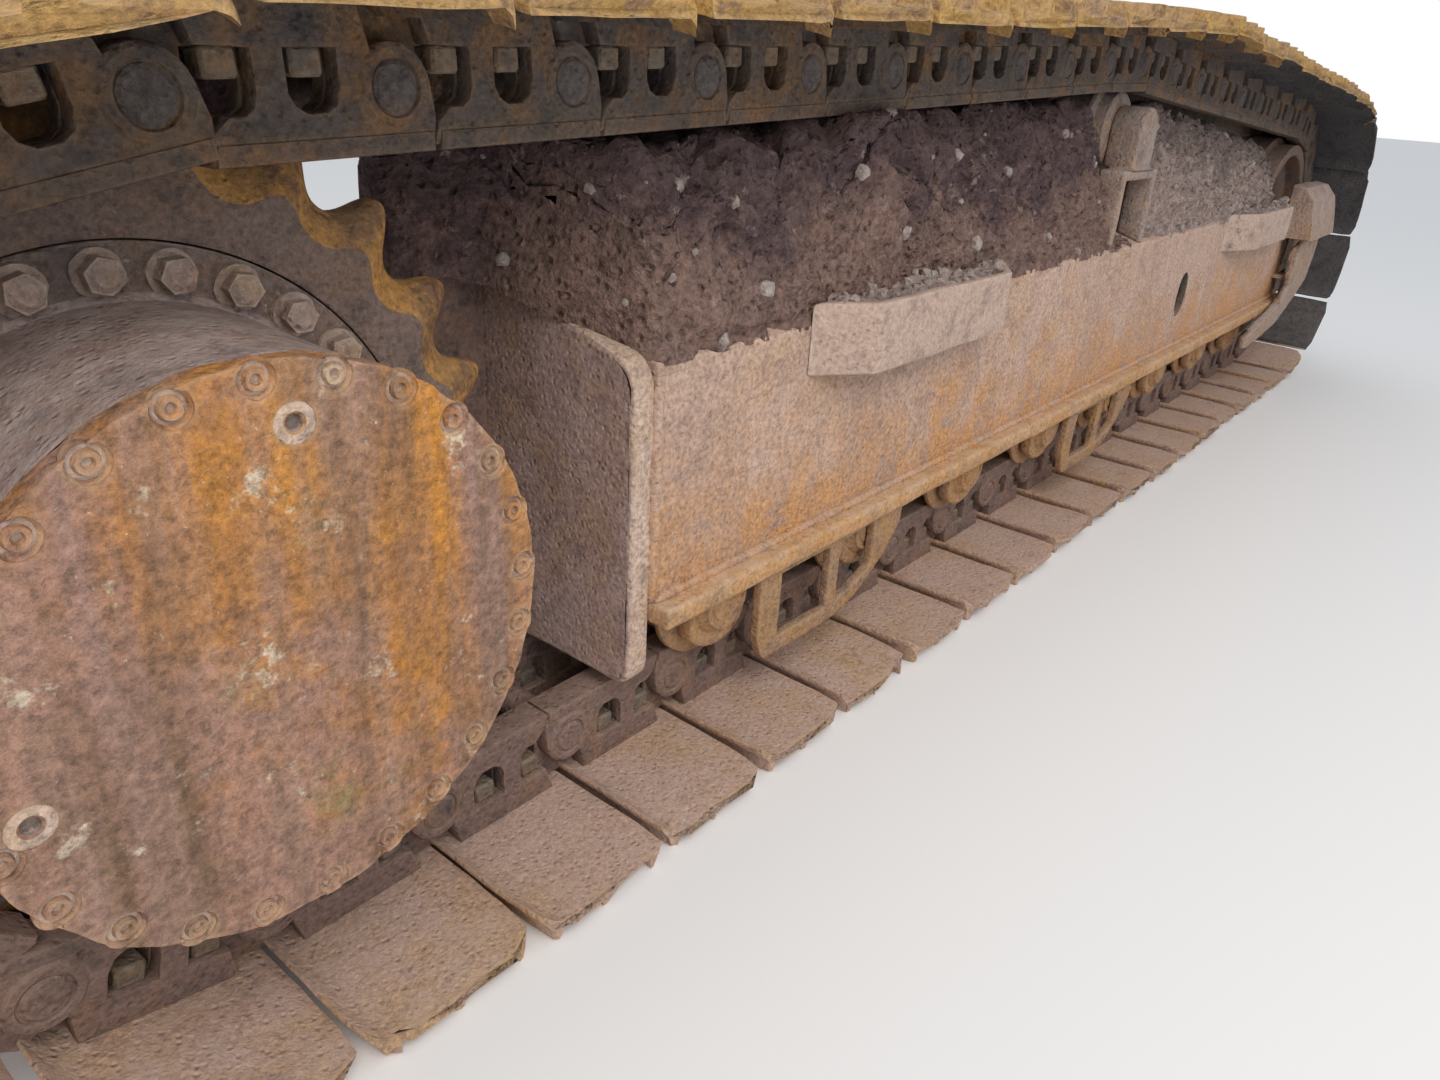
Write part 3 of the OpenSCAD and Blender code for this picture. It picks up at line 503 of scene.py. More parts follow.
# %% An outline in X and Z, filled, thick along Y, with rounded rims
def plate(name, loops, y0, y1, material, rim=3.0, steps=1):
    outline = bpy.data.curves.new(name, "CURVE")
    outline.dimensions = "2D"
    outline.fill_mode = "BOTH"
    outline.extrude = (y1 - y0) / 2 - rim
    outline.bevel_depth = rim
    outline.bevel_resolution = steps
    outline.offset = -rim
    for loop in loops:
        path = outline.splines.new("POLY")
        path.points.add(len(loop) - 1)
        path.points.foreach_set("co", [c for x, z in loop for c in (x, z, 0.0, 1.0)])
        path.use_cyclic_u = True
    drawn = placed(name, outline)
    filled = bpy.data.meshes.new_from_object(drawn.evaluated_get(bpy.context.evaluated_depsgraph_get()))
    bpy.data.objects.remove(drawn)
    points = [(p.co.x, (y0 + y1) / 2 - p.co.z, p.co.y) for p in filled.vertices]
    thing = solid(name, points, [tuple(f.vertices) for f in filled.polygons], material)
    bpy.data.meshes.remove(filled)
    return thing


# %% A profile of [radius, y] turned round an axle along Y
def turned(name, profile, x, z, material, steps=96, closed=False):
    angles = np.linspace(0, 2 * math.pi, steps, endpoint=False)
    points = [(x + r * math.cos(a), y, z + r * math.sin(a)) for r, y in profile for a in angles]
    return solid(name, points, skin(len(profile), steps, closed), material)


# %% Settle a piece: from millimetres to the frame's metres, onto its body, in place of its solids
settled = []


def settle(thing, replaced=(), body="frame", scaled=False):
    if not scaled:
        points = np.empty(len(thing.data.vertices) * 3)
        thing.data.vertices.foreach_get("co", points)
        thing.data.vertices.foreach_set("co", metres(points.reshape(-1, 3)).ravel())
        thing.data.update()
    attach(thing, body)
    if replaced:
        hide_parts(*replaced)
    settled.append(thing)
    thing.data.calc_loop_triangles()
    print("piece", thing.name, "triangles", len(thing.data.loop_triangles))
    return thing


# %% Give some faces of a settled piece another finish
def repaint(thing, material, chosen):
    mesh = thing.data
    mesh.materials.append(material)
    for face in mesh.polygons:
        if chosen(face):
            face.material_index = len(mesh.materials) - 1


# %% Move each point of a mesh, join several meshes, or mirror some across the middle plane
def reshape(thing, move):
    for p in thing.data.vertices:
        p.co = move(p.co)


def joined(name, things):
    whole = bmesh.new()
    for thing in things:
        whole.from_mesh(thing.data)
    mesh = bpy.data.meshes.new(name)
    whole.to_mesh(mesh)
    whole.free()
    mesh.materials.append(things[0].data.materials[0])
    one = placed(name, mesh)
    for thing in things:
        bpy.data.objects.remove(thing)
    return one


def both_sides(makers):
    pieces = [make() for side in (1, -1) for make in makers]
    for piece in pieces[len(makers):]:
        reshape(piece, lambda c: (c.x, -c.y, c.z))
        piece.data.flip_normals()
    return pieces


# %% [markdown]
# # Welded pieces with rounded, beaten edges
# The plates, brackets and pads of the frame already have their true shape in CAD, but their edges
# are as sharp as a drawing. A merged copy with a bevel on every hard edge catches the light as a
# real plate does. Fractal noise then moves its points a little, because old plates aren't flat.

# %% Move the points of a mesh along their normals by fractal noise
def ruffled(mesh, size, depth, octaves=4):
    count = len(mesh.vertices) * 3
    spots, normals = np.empty(count), np.empty(count)
    mesh.vertices.foreach_get("co", spots)
    mesh.vertices.foreach_get("normal", normals)
    spots = spots.reshape(-1, 3)
    waves = np.array([noise.fractal(Vector(c), 1.0, 2.0, octaves) for c in spots * size])
    spots += normals.reshape(-1, 3) * waves[:, None] * depth
    mesh.vertices.foreach_set("co", spots.ravel())
    mesh.update()


# %% A bevelled, slightly beaten copy of some solids
def beaten_copy(name, nodes, material, rim=3.0, beat=0.0, cell=0.0):
    shell = bmesh.new()
    for node in nodes:
        shell.from_mesh(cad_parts[node].data)
    bmesh.ops.remove_doubles(shell, verts=shell.verts, dist=2e-5)
    bmesh.ops.dissolve_limit(shell, angle_limit=math.radians(1.5), verts=shell.verts, edges=shell.edges)
    for face in shell.faces:
        face.material_index = 0
    hard = [e for e in shell.edges if len(e.link_faces) == 2 and e.calc_face_angle(0) > math.radians(28)]
    bmesh.ops.bevel(shell, geom=hard, offset=rim / 1000, segments=2, profile=0.6, affect="EDGES",
                    clamp_overlap=True, offset_type="OFFSET")
    for again in range(6 if cell else 0):
        if not [e for e in shell.edges if e.calc_length() > cell / 1000]:
            break
        bmesh.ops.triangulate(shell, faces=[f for f in shell.faces if len(f.verts) > 4])
        long = [e for e in shell.edges if e.calc_length() > cell / 1000]
        bmesh.ops.subdivide_edges(shell, edges=long, cuts=1, use_grid_fill=True)
    bmesh.ops.triangulate(shell, faces=[f for f in shell.faces if len(f.verts) > 4])
    mesh = bpy.data.meshes.new(name)
    shell.to_mesh(mesh)
    shell.free()
    smooth(mesh, 40)
    mesh.materials.append(material)
    if beat:
        ruffled(mesh, 9.0, beat / 1000)
    return placed(name, mesh)


# %% [markdown]
# # Geometry Nodes that repeat a piece
# Links, shoes, rollers and bolts all repeat. One tree takes points that carry a turn, puts the
# given piece on each, makes the copies real and sets their material. It is used for every run of
# the chain and for the row of rollers, so a change to a link is made once.

# %% The tree that repeats a piece on points
def real(tree, instances):
    return add(tree, "GeometryNodeRealizeInstances", {0: instances}).outputs[0]


def coated(tree, geometry, finish):
    whole = add(tree, "GeometryNodeSetMaterial", {"Geometry": geometry, "Material": finish})
    ends(tree, Mesh=whole.outputs[0])


TO_MESH = [("Mesh", MESH)]
repeat, given = group("repeat_on_points", GEOMETRY, [
    ("Points", MESH, None), ("Piece", OBJECT, None), ("Finish", MATERIAL, None)], TO_MESH)
turned_by = add(repeat, "GeometryNodeInputNamedAttribute", {"Name": "turn"}, data_type="FLOAT_VECTOR")
as_turn = add(repeat, "FunctionNodeEulerToRotation", {0: turned_by.outputs[0]})
source = add(repeat, "GeometryNodeObjectInfo", {"Object": given["Piece"]})
copies = add(repeat, "GeometryNodeInstanceOnPoints", {
    "Points": given["Points"], "Instance": source.outputs["Geometry"], "Rotation": as_turn.outputs[0]})
coated(repeat, real(repeat, copies.outputs[0]), given["Finish"])


# %% Run a tree once and keep its plain mesh
def grown(name, tree, base, **values):
    modifier = base.modifiers.new(tree.name, "NODES")
    modifier.node_group = tree
    for item in tree.interface.items_tree:
        key = item.name.replace(" ", "_").lower()
        if item.in_out == "INPUT" and key in values:
            modifier[item.identifier] = values[key]
    base.update_tag()
    seen = base.evaluated_get(bpy.context.evaluated_depsgraph_get())
    mesh = bpy.data.meshes.new_from_object(seen)
    mesh.name = name
    bpy.data.objects.remove(base)
    return placed(name, mesh)


def repeated(name, piece, material, points, turns=None):
    turns = turns or [(0, 0, 0)] * len(points)
    mesh = bpy.data.meshes.new(name + "_points")
    mesh.from_pydata([tuple(p) for p in points], [], [])
    attribute = mesh.attributes.new("turn", "FLOAT_VECTOR", "POINT")
    attribute.data.foreach_set("vector", np.array(turns, float).ravel())
    copies = grown(name, repeat, placed(name + "_points", mesh), piece=piece, finish=material)
    bpy.data.objects.remove(piece)
    return copies


# %% [markdown]
# # The path of the chain
# The pins lie on a closed path: straight along the ground, round the idler, over the carrier
# roller and round the sprocket. The same rule as in the CAD source gives each pin's place, so
# that the links made here cover the solid chain. Angles are in degrees and sizes in millimetres.

# %% Pins and links of the chain
PITCH_LEN, PIN_H, RAIL_H = 216, 70, 56
TEETH, SPR_PHASE, IDLER_R, IDLER_GAP, CARRIER_R = 23, 3.2, 316, 5, 82
CARRIER = (2145, 874, CARRIER_R + RAIL_H)
PIN_Z = 36 + PIN_H
link_angle = 720 / TEETH
spr_r = PITCH_LEN / 2 / math.sin(math.radians(link_angle / 2))
idler_pin_r = math.hypot(IDLER_R + IDLER_GAP + RAIL_H, PITCH_LEN / 2)
SPROCKET = (0, PIN_Z + spr_r, spr_r)
IDLER = (IDLER_X, PIN_Z + idler_pin_r, idler_pin_r)


def normal_over(a, b):
    dx, dz = b[0] - a[0], b[1] - a[1]
    return math.degrees(math.atan2(dz, dx) + math.acos((a[2] - b[2]) / math.hypot(dx, dz)))


def on_rim(c, angle):
    a = math.radians(angle)
    return np.array([c[0] + c[2] * math.cos(a), c[1] + c[2] * math.sin(a)])


n_rear, n_front = normal_over(SPROCKET, CARRIER), normal_over(CARRIER, IDLER)
back_angle = 270 + SPR_PHASE - 5 * link_angle
first_x = spr_r * math.sin(math.radians(SPR_PHASE))
straight = math.floor((IDLER_X - first_x) / PITCH_LEN)
lead_in = IDLER_X - first_x - straight * PITCH_LEN
legs = [lead_in, math.radians(n_front + 90) * idler_pin_r,
        np.linalg.norm(on_rim(IDLER, n_front) - on_rim(CARRIER, n_front)),
        math.radians(n_rear - n_front) * CARRIER[2],
        np.linalg.norm(on_rim(CARRIER, n_rear) - on_rim(SPROCKET, n_rear)),
        math.radians(back_angle - n_rear) * spr_r]
reach = np.concatenate([[0], np.cumsum(legs)])


def along(s):
    if s < reach[1]:
        return np.array([IDLER_X - lead_in + s, PIN_Z])
    if s < reach[2]:
        return on_rim(IDLER, -90 + math.degrees((s - reach[1]) / idler_pin_r))
    if s < reach[3]:
        a, b = on_rim(IDLER, n_front), on_rim(CARRIER, n_front)
        return a + (b - a) * (s - reach[2]) / legs[2]
    if s < reach[4]:
        return on_rim(CARRIER, n_front + math.degrees((s - reach[3]) / CARRIER[2]))
    if s < reach[5]:
        a, b = on_rim(CARRIER, n_rear), on_rim(SPROCKET, n_rear)
        return a + (b - a) * (s - reach[4]) / legs[4]
    return on_rim(SPROCKET, n_rear + math.degrees((s - reach[5]) / spr_r))


rest_links = round(reach[6] / PITCH_LEN)
pins = [np.array([first_x + k * PITCH_LEN, PIN_Z]) for k in range(straight + 1)]
pins += [along(reach[6] * k / rest_links) for k in range(1, rest_links + 1)]
pins += [on_rim(SPROCKET, 270 + SPR_PHASE - k * link_angle) for k in range(4, 0, -1)]
pins = np.array(pins)
ahead = np.roll(pins, -1, axis=0) - pins
ahead /= np.linalg.norm(ahead, axis=1)[:, None]
mids = (pins + np.roll(pins, -1, axis=0)) / 2
AT_LINKS = {"points": [(m[0], 0, m[1]) for m in mids],
            "turns": [(0, -math.atan2(d[1], d[0]), 0) for d in ahead]}
print("links", len(pins), "highest pin", round(pins[:, 1].max(), 1))

# %% [markdown]
# # Forged links
# Each link has two windows, with a post between them, and a round boss at the end that holds the
# pin. One end lies outside its neighbour and the other inside, so the links overlap like scales.
# The link is drawn as two filled outlines side by side, an outer and an inner one, in its own
# frame: X runs along the link from its middle, and down is away from the pins. A mirrored pair
# makes one link of both strands, and the tree puts it on every place of the path.

# %% One link of both strands
def arc_points(x, z, rx, rz, angles):
    return [(x + rx * math.cos(math.radians(a)), z + rz * math.sin(math.radians(a))) for a in angles]


WINDOW_REAR = [(-54, -32), (-54, -2), (-49, 12), (-40, 18), (-22, 18), (-12, 12), (-7, 2), (-7, -32)]
WINDOW_FRONT = [(23, -32), (23, 0), (28, 13), (36, 18), (50, 18), (60, 12), (66, -2), (66, -32)]
OUTER = ([(70, 51), (62, 30), (48, 18), (34, 18), (25, 12), (22, 0), (22, -32), (66, -34), (78, -70),
          (-78, -70), (-83, -52)] + arc_points(-108, 4, 40, 42, range(-60, -175, -14))
         + [(-151, 26), (-148, 42), (-142, 51)])
INNER = [(-62, 50), (136, 50), (146, 40), (149, 12), (148, -20), (142, -50), (134, -66), (100, -69),
         (-76, -69)]
RAIL = [(-146, 56), (66, 56), (62, 38), (-146, 38)]
RING = [(24, 99), (24, 104), (26, 107), (33, 107), (37, 104), (37, 99)]
RAIL_BAND = 35
LOWER_RUN = 0.3
link = joined("one_link", both_sides([
    lambda: plate("outer", [OUTER, WINDOW_REAR], 80, 104, upper_steel),
    lambda: plate("inner", [INNER, WINDOW_REAR, WINDOW_FRONT], 59, 81, upper_steel, rim=2.0, steps=0),
    lambda: turned("ring", RING, -108, 0, upper_steel, 24, closed=True),
    lambda: plate("rail", [RAIL], 60, 107, upper_steel, rim=4.0)]))
band = {k for k, face in enumerate(link.data.polygons) if face.center.z > RAIL_BAND}
faces_in_link = len(link.data.polygons)
smooth(link.data, 35)
chain_links = repeated("chain_links", link, upper_steel, **AT_LINKS)
settle(chain_links, ["track_loop"])
repaint(chain_links, rail_band_steel, lambda face: face.index % faces_in_link in band)
repaint(chain_links, low_link_steel, lambda face: face.center.z < LOWER_RUN)

# %% [markdown]
# # Pins and nuts of the chain
# A pin's end shows in the ring of each boss, and each window shows the square nut of a shoe bolt
# at its outer side. Both are small turned or bevelled pieces with few faces, because the tree
# repeats them along the whole chain.

# %% Pins at every joint, nuts in every window
PIN_R, PIN_END = 22.5, 108
PIN_PROFILE = [(0.1, PIN_END), (19, PIN_END), (PIN_R, 105), (PIN_R, 60), (PIN_R, -60), (PIN_R, -105),
               (19, -PIN_END), (0.1, -PIN_END)]
pin = turned("pin_end", PIN_PROFILE, 0, 0, pin_steel, 20)
chain_pins = repeated("chain_pins", pin, pin_steel, [(p[0], 0, p[1]) for p in pins],
                      [(0, 0.7 * k, 0) for k in range(len(pins))])
settle(chain_pins)
repaint(chain_pins, low_link_steel, lambda face: face.center.z < LOWER_RUN)
BOX_FACES = [(0, 1, 3, 2), (4, 6, 7, 5), (0, 4, 5, 1), (2, 3, 7, 6), (0, 2, 6, 4), (1, 5, 7, 3)]


def small_block(name, xs, ys, zs, material, rim=3.0):
    block = solid(name, [(x, y, z) for x in xs for y in ys for z in zs], BOX_FACES, material)
    with edited(block.data) as shell:
        bmesh.ops.bevel(shell, geom=shell.edges[:], offset=rim, segments=1, profile=0.5, affect="EDGES")
    return block


BOLT_PLACES = [(u, s * 82) for u in (-30.5, 44) for s in (-1, 1)]
nuts = [small_block("nut", (u - 15, u + 15), (y - 14, y + 14), (-33, -9), nut_steel) for u, y in BOLT_PLACES]
settle(repeated("shoe_nuts", joined("nut_set", nuts), nut_steel, **AT_LINKS))

# %% [markdown]
# # Track shoes
# A shoe is a rolled plate with three grousers and a thin lip that tucks in under the shoe before
# it. It is skinned from one section, with more stations near its ends, where the wear is. The
# tree lays the shoes along the chain. Then each copy is worn in its own way: the ends are bitten
# and rounded, the plates are bent a little and their faces are uneven.

# %% One shoe as a skin of stations across the track
SHOE = [(103, 0), (60, 0), (20, 0), (-20, 0), (-60, 0), (-84, 1), (-95, -4), (-104, -12), (-108, -15),
        (-110, -12), (-107, -4), (-99, 8), (-93, 22), (-89, 34), (-83, 36), (-77, 32), (-72, 16),
        (-64, 14), (-16, 14), (-10, 18), (-5, 34), (0, 36), (5, 34), (10, 18), (16, 14), (68, 14),
        (78, 18), (86, 34), (92, 36), (99, 30), (104, 6)]
HALF_STATIONS = (10, 50, 90, 125, 160, 190, 215, 236, 254, 268, 279, 288, 295, 300)
stations = sorted(s * y for s in (-1, 1) for y in HALF_STATIONS)
shoe_points = [(u, y, -(PIN_H + v)) for y in stations for u, v in SHOE]
shoe = solid("one_shoe", shoe_points, skin(len(stations), len(SHOE)), shoe_steel, 50)
one = len(shoe.data.vertices)
track_shoes = repeated("track_shoes", shoe, shoe_steel, **AT_LINKS)
print("points in a shoe", one)

# %% Wear each shoe: bitten ends, rounded corners, bent plates
PLATE_TOP, GROUSER_TOP = PIN_H + 15.5, PIN_H + 36
FRONT_X, TOP_Z, GROUND_Z = 4100, 600, 0.5
mesh = track_shoes.data
flat = np.empty(len(mesh.vertices) * 3)
mesh.vertices.foreach_get("co", flat)
shoe_co = flat.reshape(-1, one, 3)
rng = np.random.default_rng(7)
for k in range(len(shoe_co)):
    co = shoe_co[k]
    d, m = ahead[k], mids[k]
    normal = np.array([d[1], -d[0]])
    before, after = ahead[k - 1], ahead[(k + 1) % len(ahead)]
    curl = math.acos(min(1.0, float(before @ d))) + math.acos(min(1.0, float(after @ d)))
    local_u = ((co[:, [0, 2]] - m) @ d) * (1 + 0.1 * curl + 0.12 * min(curl, 0.3))
    local_v = (co[:, [0, 2]] - m) @ normal
    bend = rng.uniform(-3, 5, 2)
    cut = rng.uniform(0, 9, 2)
    front = m[0] > FRONT_X and m[1] > 60
    calm = 0.15 if front else 0.35 if m[1] > 700 else 1.0
    for i in range(one):
        u, y, v = local_u[i], co[i, 1], local_v[i]
        side = 1 if y > 0 else 0
        far = max(0.0, (abs(y) - 150) / 150)
        tip = max(0.0, (abs(y) - 215) / 85)
        rough = calm * noise.noise(Vector((u * 0.028, side * 9.1, k * 3.7)))
        bite = calm * max(0.0, noise.noise(Vector((u * 0.05, side * 5.3 + 40, k * 2.9))) - 0.12)
        corner = (0.2 if front else 0.7) * (abs(u) / 104) ** 8
        y -= math.copysign(tip * (4 + calm * cut[side] + 7 * rough + 30 * bite + 15 * corner), y)
        wave = noise.fractal(Vector((u * 0.012, y * 0.009, k * 1.7)), 1.0, 2.0, 3)
        if v > PLATE_TOP:
            y -= math.copysign(9 * tip, y)
        droop = 7 * tip * tip * (co[i, 2] > TOP_Z)
        v += 1.6 * wave + bend[side] * far * far + 2.5 * tip * tip * rough - droop
        narrower = math.copysign(5 * tip * tip, u) * (abs(u) > 80) * (not front)
        u += 1.5 * noise.noise(Vector((y * 0.03, v * 0.02, k * 4.1))) - narrower
        if v < GROUSER_TOP or co[i, 2] > 60:
            v = min(v, GROUSER_TOP)
        x, z = m + d * u + normal * v
        co[i] = (x, y, max(z, GROUND_Z))
mesh.vertices.foreach_set("co", shoe_co.reshape(-1))
mesh.update()
smooth(mesh, 56)
settle(track_shoes, ["track_loop"])

# %% Paint the shoes: golden on top, with painted shade underneath and on the front shoes
UPPER_RUN, UNDER_LINKS = 0.62, 0.262
repaint(track_shoes, top_shoe_steel, lambda face: face.center.z > UPPER_RUN)
# The undersides of the top shoes next to the links take the dark link finish as painted shade.
repaint(track_shoes, upper_steel, lambda face: face.center.z > UPPER_RUN and face.normal.z < -0.6
        and abs(face.center.y) < UNDER_LINKS)
# Further forward the undersides, and all shoes round the idler, get the painted shade finish.
repaint(track_shoes, front_shoe_steel, lambda face: face.center.z > UPPER_RUN and face.normal.z < -0.4
        and face.center.x > 0.7)
repaint(track_shoes, front_shoe_steel, lambda face: face.center.x > 2.17 and face.center.z > 0.09)

# %% [markdown]
# # Bolts, made by one tree
# The hub, the cover, the motor and the shoes are all bolted. This tree builds a ring of bolts from
# named sizes: a six-sided head with a small dome on a round washer, on points round a circle,
# each turned by its own random angle from a fixed seed. A ring with one size gives many looks.

# %% The tree of a bolt ring, lying in X and Z with its heads towards -Y
ring, given = group("bolt_ring", GEOMETRY, [
    ("Geometry", MESH, None), ("Count", COUNT, 24), ("Circle radius", FLOAT, 230.0),
    ("First angle", FLOAT, 0.0), ("Head radius", FLOAT, 17.0), ("Head height", FLOAT, 14.0),
    ("Washer radius", FLOAT, 22.0), ("Washer height", FLOAT, 4.0), ("Finish", MATERIAL, None)], TO_MESH)
head_r, head_h, washer_h = given["Head radius"], given["Head height"], given["Washer height"]
circle = add(ring, "GeometryNodeMeshCircle", {"Vertices": given["Count"], "Radius": given["Circle radius"]})
head = add(ring, "GeometryNodeMeshCylinder", {"Vertices": 6, "Radius": head_r, "Depth": head_h})
dome = add(ring, "GeometryNodeMeshCone", {
    "Vertices": 12, "Radius Bottom": times(ring, head_r, 0.84), "Radius Top": times(ring, head_r, 0.5),
    "Depth": times(ring, head_h, 0.22)})
washer = add(ring, "GeometryNodeMeshCylinder", {
    "Vertices": 16, "Radius": given["Washer radius"], "Depth": washer_h})
heights = (plus(ring, times(ring, head_h, 0.5), washer_h), plus(ring, head_h, washer_h),
           times(ring, washer_h, 0.5))
bolt = add(ring, "GeometryNodeJoinGeometry")
for part, up in zip((head, dome, washer), heights):
    raised = add(ring, "GeometryNodeTransform", {
        "Geometry": part.outputs[0], "Translation": along_z(ring, up)})
    ring.links.new(raised.outputs[0], bolt.inputs[0])
spin = add(ring, "FunctionNodeRandomValue", {2: 0.0, 3: 1.05, "Seed": 11}, data_type="FLOAT")
seats = add(ring, "GeometryNodeInstanceOnPoints", {
    "Points": circle.outputs[0], "Instance": bolt.outputs[0], "Rotation": along_z(ring, spin.outputs[1])})
turned_ring = add(ring, "GeometryNodeTransform", {
    "Geometry": real(ring, seats.outputs[0]), "Rotation": along_z(ring, given["First angle"])})
coated(ring, turned_ring.outputs[0], given["Finish"])


def bolt_circle(name, x, y, z, material, side=-1, rough=1.2, **sizes):
    bolts = grown(name, ring, placed(name, bpy.data.meshes.new(name)), finish=material, **sizes)
    for p in bolts.data.vertices:
        a, b, h = p.co
        shake = noise.noise(Vector((a * 0.09, b * 0.09, h * 0.11 + 3))) * rough
        p.co = (x + a + shake, y + side * (h + shake * 0.5), z + b)
    if side > 0:
        bolts.data.flip_normals()
    return bolts


# %% Heads of the shoe bolts, between the grousers
hexes = []
for u, y in BOLT_PLACES:
    head = turned("shoe_head", [(0.1, 0), (17, 0), (18, -3), (18, -13), (0.1, -13)], 0, 0, nut_steel, 6)
    reshape(head, lambda c: (u + c.x, y + c.z, -(PIN_H + 14) + c.y))
    head.data.flip_normals()
    hexes.append(head)
hex_set = joined("hex_set", hexes)
with edited(hex_set.data) as shell:
    bmesh.ops.recalc_face_normals(shell, faces=shell.faces)
settle(repeated("shoe_bolt_heads", hex_set, nut_steel, **AT_LINKS))

# %% [markdown]
# # The worn sprocket
# The teeth have been ground down into waves: a narrow crest runs round them, and both sides slope
# away from it to the faces. The ring is skinned from closed rows round the axle. Each row has its
# own root and tip radius, so the slope between the face and the crest follows the teeth. The
# crest's slopes get the ochre finish of fresh rust, the faces the brown one.

# %% The sprocket's ring
WAVE_AT = [0, 0.12, 0.24, 0.36, 0.45, 0.55, 0.64, 0.76, 0.88, 1]
WAVE_RISE = [0, 0.05, 0.3, 0.8, 1, 1, 0.8, 0.3, 0.05, 0]
RING_ROWS = [(216, 216, 34), (216, 216, -9), (290.5, 290.5, -10), (290.5, 290.5, -34), (293, 293, -35),
             (310, 322, -35), (326, 346, -35), (334, 356, -33), (352, 386, -22), (365, 406, -13),
             (368, 414, -7), (368, 415, 0), (368, 414, 7), (365, 406, 13), (352, 386, 22), (334, 356, 33),
             (326, 346, 35), (260, 260, 35)]
STEPS_A_TOOTH = 22
SLOPES_FROM, FACE_Y = 300, 33.5
around = TEETH * STEPS_A_TOOTH
rise = np.interp((np.arange(around) % STEPS_A_TOOTH) / STEPS_A_TOOTH, WAVE_AT, WAVE_RISE)
rise = (np.roll(rise, 1) + rise * 2 + np.roll(rise, -1)) / 4
angles = np.radians(270 + SPR_PHASE + np.arange(around) * 360 / around)
points = []
for root, tip, y in RING_ROWS:
    for a, h in zip(angles, rise):
        r = root + (tip - root) * h
        if root > SLOPES_FROM:
            r += 3.0 * noise.noise(Vector((math.cos(a) * 3, math.sin(a) * 3, y * 0.02)))
        points.append((r * math.cos(a), y, SPR_Z + r * math.sin(a)))
sprocket_ring = solid("sprocket_ring", points, skin(len(RING_ROWS), around, closed=True), sprocket_steel, 40)
repaint(sprocket_ring, tooth_steel, lambda face: abs(face.center.y) < FACE_Y
        and math.hypot(face.center.x, face.center.z - SPR_Z) > SLOPES_FROM)
settle(sprocket_ring, ["sprocket"])

# %% [markdown]
# # Hub, drum and cover
# The drum is a turned casting that stands on the hub's flange, with a fillet where they meet. The
# flange's bolts stand in a ring round it. The cover keeps its CAD solid's true holes and gets a
# worn rim. A small bolt sits in every recess, and a plug with a hole in both oil ports.

# %% The drum and its flange, turned
DRUM = [(120, -10), (287, -10), (288.5, -12), (288.5, -33), (287, -35), (252, -35), (248, -36),
        (247, -39), (241, -44), (240, -52), (240, -150), (239, -200), (240, -235), (243, -252),
        (243, -261), (120, -261)]
drum = turned("hub_and_drum", DRUM, 0, SPR_Z, drum_steel, 160)
repaint(drum, hub_steel, lambda face: face.center.y > -40)
settle(drum, ["drive_drum"])
hub_bolts = bolt_circle("hub_bolts", 0, -35, SPR_Z, cap_steel, count=28, circle_radius=264.0,
                        first_angle=math.radians(103.6), head_radius=16.5, head_height=15.0,
                        washer_radius=21.5, washer_height=4.0, rough=2.4)
settle(hub_bolts)

# %% The cover, its bolts and its plugs
RIM_FROM = 0.2405
BOLT_RING_R = 231
cover_plate = beaten_copy("drive_cover_plate", ["drive_cover"], cover_steel, rim=2.2)
rim_centre = middle("drive_cover")
for p in cover_plate.data.vertices:
    out = Vector((p.co.x - rim_centre.x, 0, p.co.z - rim_centre.z))
    if out.length > RIM_FROM:
        p.co -= out.normalized() * 0.004 * max(0.0, noise.noise(p.co * 38) + 0.25)
settle(cover_plate, ["drive_cover"], scaled=True)


def in_front_of(y):
    return lambda face: face.center.y * 1000 + MID_Y < y


def behind(y):
    return lambda face: face.center.y * 1000 + MID_Y > y


RECESS = [(0.1, -275.4), (3.6, -275.6), (4.6, -280), (8, -280.8), (9.4, -276.4), (12.2, -275.6),
          (15.8, -279.4), (15.8, -274), (0.1, -274)]
bolt_ring = arc_points(0, SPR_Z, BOLT_RING_R, BOLT_RING_R, [1 + 15 * k for k in range(24)])
cover_bolts = repeated("cover_bolts", turned("recess", RECESS, 0, 0, cover_steel, 22), cover_steel,
                       [(x, 0, z) for x, z in bolt_ring])
ruffled(cover_bolts.data, 0.09, 0.8)
settle(cover_bolts)
# The groove floors round the small bolts take the darker end plate finish as painted shade.
repaint(cover_bolts, end_steel, behind(-276.4))
PLUG = [(0.1, -275.2), (6, -275.5), (7, -279.5), (9, -281), (14, -281), (17.3, -280), (17.3, -275),
        (0.1, -275)]
plugs = [turned("plug", PLUG, x, SPR_Z + z, cover_steel, 28) for x, z in ((20, 194), (-200, -43))]
cover_plugs = joined("cover_plugs", plugs)
settle(cover_plugs)
repaint(cover_plugs, hub_steel, behind(-278.5))
repaint(cover_plugs, edge_steel, in_front_of(-280.4))

# %% [markdown]
# # Plates and castings of the frame
# The welded frame is a long box: two side plates, rails under them, a sloping roof and a thick
# end plate. Its pieces keep their CAD form. A table says which solids become one piece, with what
# finish and slot, how wide the worn rim is, how far the plates are beaten, and how fine they are
# cut up. Two castings are bent further: the guards' windows widen, and the idler's strap stands
# back under its block.

